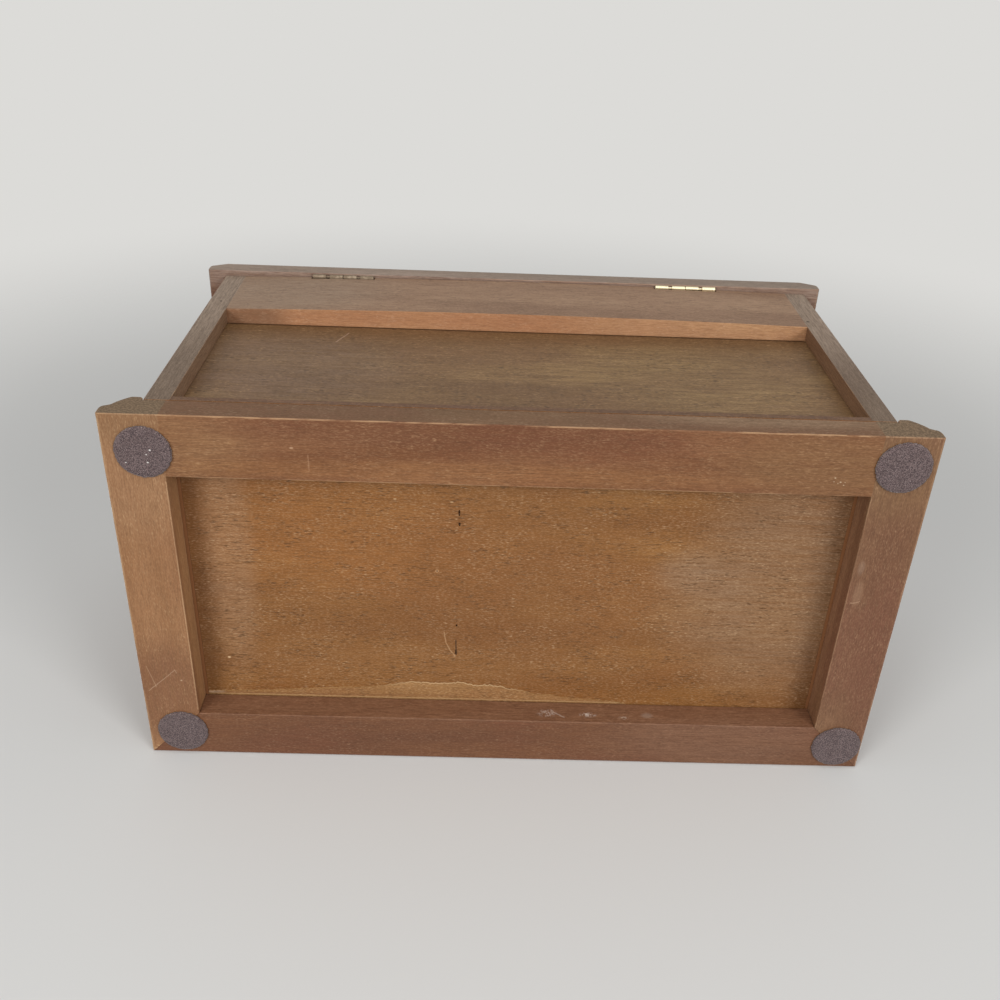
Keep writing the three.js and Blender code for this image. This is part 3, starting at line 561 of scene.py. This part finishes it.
nail_and_sheen_marks = (
    ("patch", (118.2, 70.3, 104.2), (0.75, 1, 0.75), "#2e2018", 0.95),
    ("patch", (115.9, 70.3, 104.4), (0.5, 1, 0.5), "#3a281c", 0.9),
    ("patch", (-116.0, 70.3, 102.0), (0.8, 1, 0.8), "#2e2018", 0.95),
    # Painted sheen: the back edges turn paler grey towards the top, for glancing light and dust.
    ("tinge", (0, 70.3, 126), (500, 4, 90), "#a89482", 0.8))
board_marks = (
    ("patch", (114.9, 0, 12), (1.3, 300, 0.8), "#8a5a36", 0.95),
    ("patch", (-114.9, 0, 12), (1.3, 300, 0.8), "#8a5a36", 0.95),
    ("tinge", (board_inner, 70, 60), (3, 9, 180), "#8f745c", 0.9),
    ("tinge", (-board_inner, 70, 60), (3, 9, 180), "#7c6048", 0.6))
board_lacquer = dict(pores=0.3, flecks=0.2, grit=0.15, corner_shade=0.1, marks=board_marks)
end_whole = wood("end_board_stain", "Z", board_tones, 53.7, **board_lacquer)
end_rubbed = wood("end_board_arris", "Z", board_tones, 53.7, worn=0.4, **board_lacquer)
# Painted sheen: the back edges get greyer tones for glancing light as well as dust.
end_dust_and_sheen = wood("end_board_dusty_back", "Z", dust_and_sheen_tones, 55.1, pores=0.4, flecks=0.3, grit=0.15,
                 sheen=0.68, marks=nail_and_sheen_marks)
for node in ("end_board_right", "end_board_left"):
    board = eased(node, "_wood", 0.25, "case", [end_whole, end_rubbed, end_dust_and_sheen],
                  square=beside_rail, split=((2, upper_rail_foot),))
    turn_dust_and_sheen(board, body_back * mm)

# Back panel: thin plywood under the same stain, whose open grain took it darker. It is let into
# grooves in the end boards and lapped behind the back rail.
back_marks = (
    ("line", ((69.8, 64.2, 80.2), (68.6, 64.2, 83.2), (67.1, 64.2, 86.6), (66, 64.2, 89.8)),
     0.38, "#b09078", 0.6),
    ("line", ((-113, 64.2, upper_rail_foot - 0.2), (0, 64.2, upper_rail_foot - 0.3),
              (113, 64.2, upper_rail_foot - 0.2)), 0.6, "#4a2e1c", 0.7),
    ("tinge", (84, 64.2, 55), (56, 2, 44), "#7a6250", 0.6),
    ("tinge", (-60, 64.2, 55), (60, 2, 40), "#8e7248", 0.5))
back_tones = ("#6e5032", "#907048", "#7a583a", "#c09c70", "#8a6a48")
back_ply = wood("back_panel_stain", "X", back_tones, 61.9, pores=1.0, flecks=0.4, grit=0.15,
                streaking=0.62, marks=back_marks)
eased("back_panel", "_ply", 0.1, "case", [back_ply])

# Front and back rails of the body: solid boards across the top, the back one bowed outward and
# mortised for the hinges. Its underside is coloured a brighter orange than its other faces.
rail_tones = ("#6e4c34", "#845e42", "#764e38", "#b8946e", "#6e5440")
# Painted sheen: the back face of the rail gets greyer tones for glancing light as well as dust.
dust_and_sheen_rail = ("#8a6b54", "#a5856a", "#997960", "#c4a484", "#6e5440")
rail_dust_and_sheen = (("tinge", (96, 70.5, 120), (60, 4, 40), "#9a8672", 0.6),)
underside_marks = (
    ("tinge", (106, 67, upper_rail_foot), (20, 20, 4), "#7d5c44", 0.85),
    ("tinge", (-70, 67, upper_rail_foot), (70, 20, 4), "#c09c74", 0.35))
orange_tones = ("#ab7854", "#c4946a", "#b5815d", "#d8b494", "#a27048")
bright_orange_underside = wood("back_rail_underside", "X", orange_tones, 66.1, pores=0.2, flecks=0.3, grit=0.1,
                 corner_shade=0.35, streaking=0.08, marks=underside_marks)


def between_ends(spot):
    """Whether a point is at an end of a rail, where it meets an end board"""
    return abs(spot.x) > board_inner - joint_reach


for node, shift in (("back_rail", 67.3), ("front_rail", 71.9)):
    lacquer = dict(pores=0.45, flecks=0.3, grit=0.15)
    whole = wood(node + "_stain", "X", rail_tones, shift, **lacquer)
    rubbed = wood(node + "_arris", "X", rail_tones, shift, worn=0.4, **lacquer)
    dust_and_sheen = wood(node + "_dusty_back", "X", dust_and_sheen_rail, shift, pores=0.5, flecks=0.3, grit=0.15,
                 sheen=0.62, marks=rail_dust_and_sheen)
    rail = eased(node, "_wood", 0.2, "case", [whole, rubbed, dust_and_sheen, bright_orange_underside],
                 square=between_ends, close=ends_closed(board_inner))
    if node == "back_rail":
        turn_dust_and_sheen(rail, body_back * mm)
        # The underside of the back rail gets the brighter orange.
        for side in rail.data.polygons:
            if side.normal.z < -0.9 and side.center.z < rail_low.z + face_depth:
                side.material_index = 3

# Inside of the body: the partition stapled through the bottom, the shelves in their housings
# and the plywood tray floor in its grooves.
inner_tones = ("#7a563c", "#906a4c", "#80563e", "#b8946c", "#74543c")
for node, run, shift in (
        ("partition", "Y", 73.1), ("shelf_left", "X", 79.7), ("shelf_right", "X", 83.3)):
    inner_stain = wood(node + "_stain", run, inner_tones, shift)
    eased(node, "_wood", 0.2, "case", [inner_stain])
eased("tray_floor", "_ply", 0.1, "case", [back_ply])

# Tray dividers: thin boards covered in dark red velvet, rounded over at the top where the cloth
# is turned across them, and a velvet card laid on the floor of each open bay.


def velvet(name, colour, shade, shift=0.0):
    """Short-piled velvet: the pile is brushed this way and that, and catches light at its tips"""
    material, tree, place = unfinished(name)
    brushed = mottle(tree, place, 14, 2, offset=shift)
    pile = mottle(tree, place, 0.35, 2, offset=shift + 3)
    tint = mixed(tree, stepped(tree, brushed, 0.35, 0.65), linear(shade), linear(colour))
    tint = mixed(tree, stepped(tree, pile, 0.35, 0.7, 0.45), tint, linear(shade))
    bump = add(tree, "ShaderNodeBump", {"Height": pile, "Strength": 0.5, "Distance": 0.15 * mm})
    surfaced(tree, {"Base Color": tint, "Roughness": 0.95, "Normal": bump.outputs[0],
                    "Sheen Weight": 0.6, "Sheen Roughness": 0.35, "Sheen Tint": linear("#c46a78")})
    return material


red_velvet = velvet("red_velvet", "#6a2432", "#4a141f")
for node in ("tray_divider_long", "tray_divider_back_left", "tray_divider_back_right",
             "tray_divider_front"):
    eased(node, "_velvet", 0.9, "case", [red_velvet], 4)

tray_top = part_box("tray_floor")[1].z
inner_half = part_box("end_board_right")[0].x
rail_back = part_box("front_rail")[1].y
back_rail_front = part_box("back_rail")[0].y
long_low, long_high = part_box("tray_divider_long")
left_low, left_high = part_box("tray_divider_back_left")
right_low, right_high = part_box("tray_divider_back_right")
front_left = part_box("tray_divider_front")[0].x


def card(name, x_span, y_span, level, body, material):
    """A thin covered card, crowned a little between its edges and rounded at its corners"""
    thickness, gap, clearance, underside = 0.7 * mm, 0.6 * mm, 0.15 * mm, 0.02 * mm
    across, deep = 28, 18
    x0, x1 = x_span[0] + gap, x_span[1] - gap
    y0, y1 = y_span[0] + gap, y_span[1] - gap
    work = bmesh.new()
    rows = []
    for j in range(deep + 1):
        row = []
        for i in range(across + 1):
            u, v = i / across, j / deep
            edge = min(u * (x1 - x0), (1 - u) * (x1 - x0), v * (y1 - y0), (1 - v) * (y1 - y0))
            swell = 1 - math.exp(-edge / (1.2 * mm))
            wave = noise.noise(Vector((u * 5, v * 4, x0 * 90))) * 0.12 * mm * swell
            row.append(work.verts.new((x0 + (x1 - x0) * u, y0 + (y1 - y0) * v,
                                       level + clearance + thickness * swell + wave)))
        rows.append(row)
    for j in range(deep):
        for i in range(across):
            work.faces.new((rows[j][i], rows[j][i + 1], rows[j + 1][i + 1], rows[j + 1][i]))
    rim = [e for e in work.edges if len(e.link_faces) == 1]
    skirt = bmesh.ops.extrude_edge_only(work, edges=rim)["geom"]
    for vert in [g for g in skirt if isinstance(g, bmesh.types.BMVert)]:
        vert.co.z = level + underside
    bmesh.ops.holes_fill(work, edges=[e for e in work.edges if len(e.link_faces) == 1])
    bmesh.ops.recalc_face_normals(work, faces=work.faces)
    fitted(name, work, [material], body, sharp=50)


for name, x_span, y_span in (
        ("tray_card_back_left", (-inner_half, left_low.x), (long_high.y, back_rail_front)),
        ("tray_card_back_middle", (left_high.x, right_low.x), (long_high.y, back_rail_front)),
        ("tray_card_back_right", (right_high.x, inner_half), (long_high.y, back_rail_front)),
        ("tray_card_front_left", (-inner_half, front_left), (rail_back, long_low.y))):
    card(name, x_span, y_span, tray_top, "case", red_velvet)

# Ring rolls: five rolls of wadding under velvet, tucked down between each two so that a ring's
# band stands in the slot. They fill the front right bay of the tray on one backing board.
rolls_low, rolls_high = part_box("ring_rolls")
roll_count, backing_thickness = 5, 3.2 * mm
roll_velvet = velvet("ring_roll_velvet", "#6f2735", "#4c1520", 7.0)


def ring_roll(name, y0, y1):
    """One roll: flat below, upright sides and a round top, drawn in and rounded at its ends"""
    lengthways, around, end_gap, end_length = 64, 26, 0.2 * mm, 4.5 * mm
    x0, x1 = rolls_low.x + end_gap, rolls_high.x - end_gap
    base, top = rolls_low.z + backing_thickness, rolls_high.z - 0.1 * mm
    half, middle = (y1 - y0) / 2, (y0 + y1) / 2
    work = bmesh.new()
    rings = []
    for i in range(lengthways + 1):
        u = i / lengthways
        run = min(u, 1 - u) * (x1 - x0)
        close = math.sqrt(max(0.0, 1 - (1 - min(1.0, run / end_length)) ** 2))
        grip = 0.55 + 0.45 * close
        crown = base + (top - half - base) * (0.8 + 0.2 * close)
        ring = []
        for k in range(around + 1):
            turn = math.pi * k / around
            side = math.cos(turn)
            lift = math.sin(turn)
            pucker = noise.noise(Vector((u * 26, turn * 2.2, y0 * 300))) * 0.28 * mm
            pucker = pucker * (1 - lift * 0.5)
            reach = half * grip - 0.15 * mm + pucker * 0.5
            ring.append(work.verts.new((x0 + (x1 - x0) * u, middle + side * reach,
                                        crown + half * lift * grip * 0.97 + pucker * 0.3)))
        foot = half * grip - 0.3 * mm
        ring.append(work.verts.new((x0 + (x1 - x0) * u, middle - foot, base)))
        ring.insert(0, work.verts.new((x0 + (x1 - x0) * u, middle + foot, base)))
        rings.append(ring)
    skinned(work, rings)
    fitted(name, work, [roll_velvet], "case", "ring_rolls", 60)


roll_pitch = (rolls_high.y - rolls_low.y) / roll_count
half_slot = 0.35 * mm
for i in range(roll_count):
    ring_roll(f"ring_roll_{i + 1}", rolls_low.y + roll_pitch * i + half_slot,
              rolls_low.y + roll_pitch * (i + 1) - half_slot)
slab("ring_roll_backing", rectangle(rolls_low, rolls_high), rolls_low.z,
     rolls_low.z + backing_thickness, "case", [roll_velvet], node="ring_rolls")

# Lid: one board with a short upright edge and a long low slope worked round the front and ends,
# and a small mirror let into its underside.
lid_tones = ("#6e4a34", "#846046", "#7a503c", "#ac8666", "#6c5040")
# Painted sheen: the back of the lid gets greyer tones for glancing light as well as dust.
lid_dust_and_sheen_tones = ("#8a796b", "#a69182", "#937f70", "#b49d84", "#74654f")
# Painted sheen: a greyer band along the back of the lid, for glancing light as well as dust.
lid_dust_and_sheen_marks = (("tinge", (0, 75, 133), (1200, 15, 14), "#9a8476", 0.95),)
lid_lacquer = dict(pores=0.35, flecks=0.2, grit=0.12, sheen=0.4, marks=lid_dust_and_sheen_marks)
lid_whole = wood("lid_stain", "X", lid_tones, 89.3, **lid_lacquer)
lid_rubbed = wood("lid_arris", "X", lid_tones, 89.3, worn=0.25, **lid_lacquer)
lid_back_dust_and_sheen = wood("lid_dusty_back", "X", lid_dust_and_sheen_tones, 91.1, pores=0.4, flecks=0.3, grit=0.15,
                 sheen=0.62)
lid = eased("lid_board", "_wood", 0.35, "lid", [lid_whole, lid_rubbed, lid_back_dust_and_sheen])
turn_dust_and_sheen(lid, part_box("lid_board")[1].y)

silvered, tree, place = unfinished("silvered_glass")
smudges = mottle(tree, place, 12, 3, offset=4)
haze = ranged(tree, smudges, 0.45, 0.75, 0.02, 0.10)
tint = mixed(tree, stepped(tree, smudges, 0.55, 0.75, 0.25), linear("#e3e8e8"), linear("#c9d0cf"))
surfaced(tree, {"Base Color": tint, "Metallic": 1.0, "Roughness": haze})
eased("lid_mirror", "_glass", 0.5, "lid", [silvered], 3)

# Hinges: two small rolled brass butts, let into the back rail and held by countersunk screws.
# One is still bright and the other has gone dull.


def brass(name, bright, dull, tarnish, roughness):
    """Brass with soft patches of tarnish, finely scratched by polishing"""
    material, tree, place = unfinished(name)
    patches = mottle(tree, place, 2.4, 3, offset=tarnish * 10)
    scratches = mottle(tree, place, 0.12, 2, 3.0, "X", 5)
    cover = stepped(tree, patches, 0.62 - 0.3 * tarnish, 0.78 - 0.3 * tarnish)
    tint = mixed(tree, cover, linear(bright), linear(dull))
    matt = ranged(tree, cover, 0.0, 1.0, roughness, roughness + 0.25)
    bump = add(tree, "ShaderNodeBump", {
        "Height": scratches, "Strength": 0.15, "Distance": 0.02 * mm})
    surfaced(tree, {"Base Color": tint, "Metallic": 1 - 0.5 * tarnish, "Roughness": matt,
                    "Normal": bump.outputs[0]})
    return material


def screw_head(name, x, y, z, up, turn, radius, body, material):
    """A countersunk head, slightly domed, with a slot across it, facing up or down"""
    dome, slot_half, slot_floor = 0.12 * radius, 0.13 * radius, -0.072 * radius
    work = bmesh.new()
    rings = []
    for share, height in ((1.0, -0.16), (1.0, 0.0), (0.75, 0.45), (0.45, 0.8), (0.12, 1.0)):
        rings.append([work.verts.new((math.cos(t) * radius * share, math.sin(t) * radius * share,
                                      dome * height)) for t in turns(28)])
    skinned(work, rings)
    for vert in work.verts:
        if vert.co.z > 0 and abs(vert.co.y) < slot_half:
            vert.co.z = slot_floor
    bmesh.ops.transform(work, verts=work.verts, matrix=Matrix.Translation((x, y, z))
                        @ Matrix.Rotation(turn, 4, "Z") @ Matrix.Diagonal((1, 1, up, 1)))
    if up < 0:
        bmesh.ops.reverse_faces(work, faces=work.faces)
    fitted(name, work, [material], body, sharp=35)


leaf_thickness, screw_radius, screw_setback, screw_spread = 0.5 * mm, 1.7 * mm, 4 * mm, 7.6 * mm
for side, bright, dull, tarnish in (
        ("left", "#f4e8c4", "#d0bc88", 0.1), ("right", "#9a8974", "#857460", 0.9)):
    finish = brass(f"hinge_{side}_brass", bright, dull, tarnish, 0.28 + 0.2 * tarnish)
    eased(f"hinge_{side}_body_leaf", "_brass", 0.08, "case", [finish])
    eased(f"hinge_{side}_lid_leaf", "_brass", 0.08, "lid", [finish])
    eased(f"hinge_{side}_pin", "_brass", 0.1, "case", [finish])
    for leaf, body, up in (("body", "case", 1), ("lid", "lid", -1)):
        low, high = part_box(f"hinge_{side}_{leaf}_leaf")
        plate_face = low.z + leaf_thickness if up > 0 else high.z - leaf_thickness
        for i, offset in enumerate((-screw_spread, screw_spread)):
            slot_turn = 0.6 + i * 1.3
            screw_head(f"hinge_{side}_{leaf}_screw_{i + 1}", (low.x + high.x) / 2 + offset,
                       low.y + screw_setback, plate_face, up, slot_turn, screw_radius, body, finish)

# Drawers: stained fronts, bare pale sides and back, a plywood bottom in grooves, a velvet card
# laid in, and a turned brass knob tenoned through the front.
pale_tones = ("#a47e54", "#bd9768", "#a87c54", "#dcbd90", "#9a7a54")
pale_x = wood("drawer_back_wood", "X", pale_tones, 97.1, pores=0.3, flecks=0.2, sheen=0.6)
pale_y = wood("drawer_side_wood", "Y", pale_tones, 101.3, pores=0.3, flecks=0.2, sheen=0.6)
bottom_tones = ("#94693f", "#b08352", "#96683f", "#d0a878", "#8a6a48")
drawer_ply = wood("drawer_bottom_ply", "X", bottom_tones, 103.7)
front_tones = ("#7a5038", "#93684a", "#844e38", "#b48c66", "#6e5440")
knob_brass = brass("knob_brass", "#dcc07c", "#a98c50", 0.35, 0.22)


def turned_knob(name, node, body):
    """A knob turned from bar: a round foot, a waisted neck and a mushroom head with a fine step"""
    low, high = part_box(node)
    x, z = (low.x + high.x) / 2, (low.z + high.z) / 2
    head = (high.x - low.x) / 2
    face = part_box(node.replace("_knob", "_front"))[0].y
    out = face - low.y
    tenon, tenon_radius, seat = -7.0 * mm, 2.0 * mm, 0.1 * mm
    profile = [(0, tenon), (tenon_radius, tenon), (tenon_radius, seat), (0.70 * head, seat),
               (0.70 * head, 0.7 * mm), (0.66 * head, 1.05 * mm), (0.55 * head, 1.25 * mm),
               (0.47 * head, 1.7 * mm), (0.43 * head, 2.6 * mm), (0.43 * head, 3.4 * mm)]
    start, curve_steps = 3.9 * mm, 14
    for k in range(curve_steps + 1):
        turn = -0.42 * math.pi + (0.92 * math.pi) * k / curve_steps
        radius = head * math.cos(turn)
        profile.append((max(radius, 0.0), start + (out - start) * (0.5 + 0.5 * math.sin(turn))))
    work = bmesh.new()
    rings = []
    for radius, along in profile:
        at_centre = radius < 1e-6
        rings.append([work.verts.new((x, face - along, z))] if at_centre else [
            work.verts.new((x + radius * math.cos(t), face - along, z + radius * math.sin(t)))
            for t in turns(40)])
    skinned(work, rings)
    fitted(name, work, [knob_brass], body, node, 40)


for i, drawer in enumerate(("drawer_lower_left", "drawer_lower_right", "drawer_upper_left",
                            "drawer_upper_right")):
    front_stain = wood(drawer + "_front_stain", "X", front_tones, 107.1 + 3.3 * i, pores=0.35,
                       flecks=0.2, sheen=0.4)
    eased(drawer + "_front", "_wood", 0.2, drawer, [front_stain])
    for part in ("_side_left", "_side_right"):
        eased(drawer + part, "_wood", 0.25, drawer, [pale_y])
    eased(drawer + "_back", "_wood", 0.25, drawer, [pale_x])
    eased(drawer + "_bottom", "_ply", 0.1, drawer, [drawer_ply])
    turned_knob(drawer + "_turned_knob", drawer + "_knob", drawer)
    inside_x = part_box(drawer + "_side_left")[1].x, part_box(drawer + "_side_right")[0].x
    inside_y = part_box(drawer + "_front")[1].y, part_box(drawer + "_back")[0].y
    card(drawer + "_card", inside_x, inside_y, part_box(drawer + "_bottom")[1].z, drawer, red_velvet)

# Felt pads: four stick-on discs of grey-purple felt, pressed flat and stuck on by hand, with pale
# lint caught in the nap and a rim that has frayed a little.
felt, tree, place = unfinished("grey_felt")
matted = mottle(tree, place, 0.38, 3, offset=2)
clumps = mottle(tree, place, 3.5, 2, offset=8)
lint = mottle(tree, place, 0.3, 1, offset=13)
tint = mixed(tree, stepped(tree, matted, 0.36, 0.64), linear("#463a3c"), linear("#7a6866"))
tint = mixed(tree, stepped(tree, clumps, 0.4, 0.7, 0.4), tint, linear("#544544"))
tint = mixed(tree, stepped(tree, lint, 0.60, 0.70, 0.6), tint, linear("#b0a29c"))
for x, y, size in (
        (119.0, 58.1, 0.5), (120.2, 53.6, 0.45), (120.3, 56.5, 0.35), (127.2, 53.4, 0.35)):
    speck = patch(tree, place, (x, y, 0), (size, size * 0.8, 1), 0.9)
    tint = mixed(tree, speck, tint, linear("#e0dad4"))
bump = add(tree, "ShaderNodeBump", {"Height": matted, "Strength": 0.6, "Distance": 0.12 * mm})
surfaced(tree, {"Base Color": tint, "Roughness": 1.0, "Normal": bump.outputs[0],
                "Sheen Weight": 0.25, "Sheen Roughness": 0.5, "Specular IOR Level": 0.1})

pressed_in, rim_from = 0.99, 0.9
for node in ("felt_pad_right_back", "felt_pad_left_back", "felt_pad_right_front",
             "felt_pad_left_front"):
    low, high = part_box(node)
    middle = (low + high) / 2
    radius = (high.x - low.x) / 2
    work = bmesh.new()
    rings = []
    for share, lift in (
            (0.0, 0.05), (0.12, 0.04), (0.25, 0.05), (0.38, 0.04), (0.5, 0.05), (0.62, 0.03),
            (0.74, 0.04), (0.85, 0.03), (0.93, 0.06), (0.975, 0.16), (1.0, 0.42), (0.995, 0.88)):
        ring = []
        for turn in turns(144 if share else 1):
            out = Vector((math.cos(turn), math.sin(turn), 0))
            fray = 1 + 0.018 * noise.noise(Vector((out.x * 6, out.y * 6, middle.x * 50)))
            fray += 0.034 * noise.noise(Vector((out.x * 25, out.y * 25, middle.y * 50)))
            spot = out * radius * share * (fray if share > rim_from else 1)
            nap = noise.noise(Vector((spot.x * 900, spot.y * 900, 3.0))) * 0.05 * mm
            z = lift * mm + (nap if lift < 0.5 else 0)
            ring.append(work.verts.new((middle.x + spot.x * pressed_in,
                                        middle.y + spot.y * pressed_in, max(z, 0.0))))
        rings.append(ring)
    skinned(work, rings)
    fitted(node + "_felt", work, [felt], "case", node, 180)

# Floor for the box as it lies in the photograph, on its front, and a second one for the box
# standing upright. Each shows from above only, and fades out into the pale surroundings.


def floor_sheet(name, middle, turn, reach):
    """A pale disc that takes the box's shadow and is clear at its rim and from behind"""
    material, tree, place = unfinished(name)
    away = vector(tree, "LENGTH", {0: place}, "Value")
    fade = stepped(tree, away, reach * 0.35, reach * 0.95)
    behind = add(tree, "ShaderNodeNewGeometry").outputs["Backfacing"]
    clear = combined(tree, "MAXIMUM", fade, behind)
    cloth = add(tree, "ShaderNodeBsdfDiffuse", {"Color": linear("#d8d8d6")})
    nothing = add(tree, "ShaderNodeBsdfTransparent")
    both = add(tree, "ShaderNodeMixShader", {0: clear, 1: cloth.outputs[0], 2: nothing.outputs[0]})
    add(tree, "ShaderNodeOutputMaterial", {0: both.outputs[0]})
    bpy.ops.mesh.primitive_circle_add(vertices=96, radius=reach, fill_type="NGON", location=middle,
                                      rotation=turn)
    sheet = bpy.context.object
    sheet.name = name
    sheet.data.materials.append(material)
    sheet.visible_diffuse = False
    sheet.visible_glossy = False
    sheet.visible_transmission = False
    sheet.visible_shadow = False


lowest_front, floor_reach = solids_box[0].y, 0.75
floor_sheet("lying_floor", (0, lowest_front - 0.1 * mm, 60 * mm), (-math.pi / 2, 0, 0), floor_reach)
floor_sheet("standing_floor", (0, 0, -0.05 * mm), (0, 0, 0), floor_reach)

# Light: pale surroundings on all sides, a soft light from each side and one overhead for the box
# as it lies, and two more in front and above for the box when it stands.
world = bpy.data.worlds.new("pale_room")
bpy.context.scene.world = world
world.use_nodes = True
tree = world.node_tree
tree.nodes.clear()
rays = add(tree, "ShaderNodeLightPath").outputs
seen = combined(tree, "MAXIMUM", rays["Is Camera Ray"], rays["Is Glossy Ray"])
seen = combined(tree, "MAXIMUM", seen, rays["Is Transmission Ray"])
shining = add(tree, "ShaderNodeBackground", {"Color": (1, 1, 1, 1), "Strength": 0.39})
backdrop = add(tree, "ShaderNodeBackground", {"Color": linear("#dcdbd8"), "Strength": 1.0})
both = add(tree, "ShaderNodeMixShader", {0: seen, 1: shining.outputs[0], 2: backdrop.outputs[0]})
add(tree, "ShaderNodeOutputWorld", {0: both.outputs[0]})


def soft_light(name, direction, width, height, power):
    """A broad panel light that faces the middle of the box from a given direction"""
    distance, box_middle = 1.3, Vector((0, 0, 0.07))
    lamp = bpy.data.lights.new(name, "AREA")
    lamp.shape = "RECTANGLE"
    lamp.size, lamp.size_y = width, height
    lamp.energy = power
    holder = bpy.data.objects.new(name, lamp)
    toward = Vector(direction).normalized()
    holder.location = box_middle + toward * distance
    holder.rotation_mode = "QUATERNION"
    holder.rotation_quaternion = toward.to_track_quat("Z", "Y")
    bpy.context.collection.objects.link(holder)


soft_light("left_window", (0.52, 0.42, -0.74), 0.28, 0.5, 6.1)
soft_light("right_window", (-0.52, 0.42, -0.74), 0.28, 0.5, 6.1)
soft_light("ceiling_light", (0, 0.93, -0.36), 0.9, 0.9, 3.5)
soft_light("front_left_light", (-0.5, -0.8, 0.7), 0.7, 0.6, 5.0)
soft_light("front_right_light", (0.6, -0.6, 0.8), 0.7, 0.6, 5.0)

# Camera: the view of the photograph, from behind and below the box as it stands upright. Its
# place, turn and lens were fitted to the corners and edges of the box.
camera_data = bpy.data.cameras.new("photo_camera")
camera_data.lens = 38.316
camera_data.sensor_width = 36.0
camera_data.clip_start = 0.01
camera = bpy.data.objects.new("photo_camera", camera_data)
right = Vector((-0.99937, 0.03521, -0.0039))
up = Vector((0.02839, 0.86179, 0.50647))
back = Vector((0.0212, 0.50604, -0.86225))
camera.matrix_world = Matrix((right, up, back)).transposed().to_4x4()
camera.location = Vector((14.11, 220.09, -301.03)) * mm
bpy.context.collection.objects.link(camera)
bpy.context.scene.camera = camera
bpy.context.scene.view_settings.view_transform = "Standard"
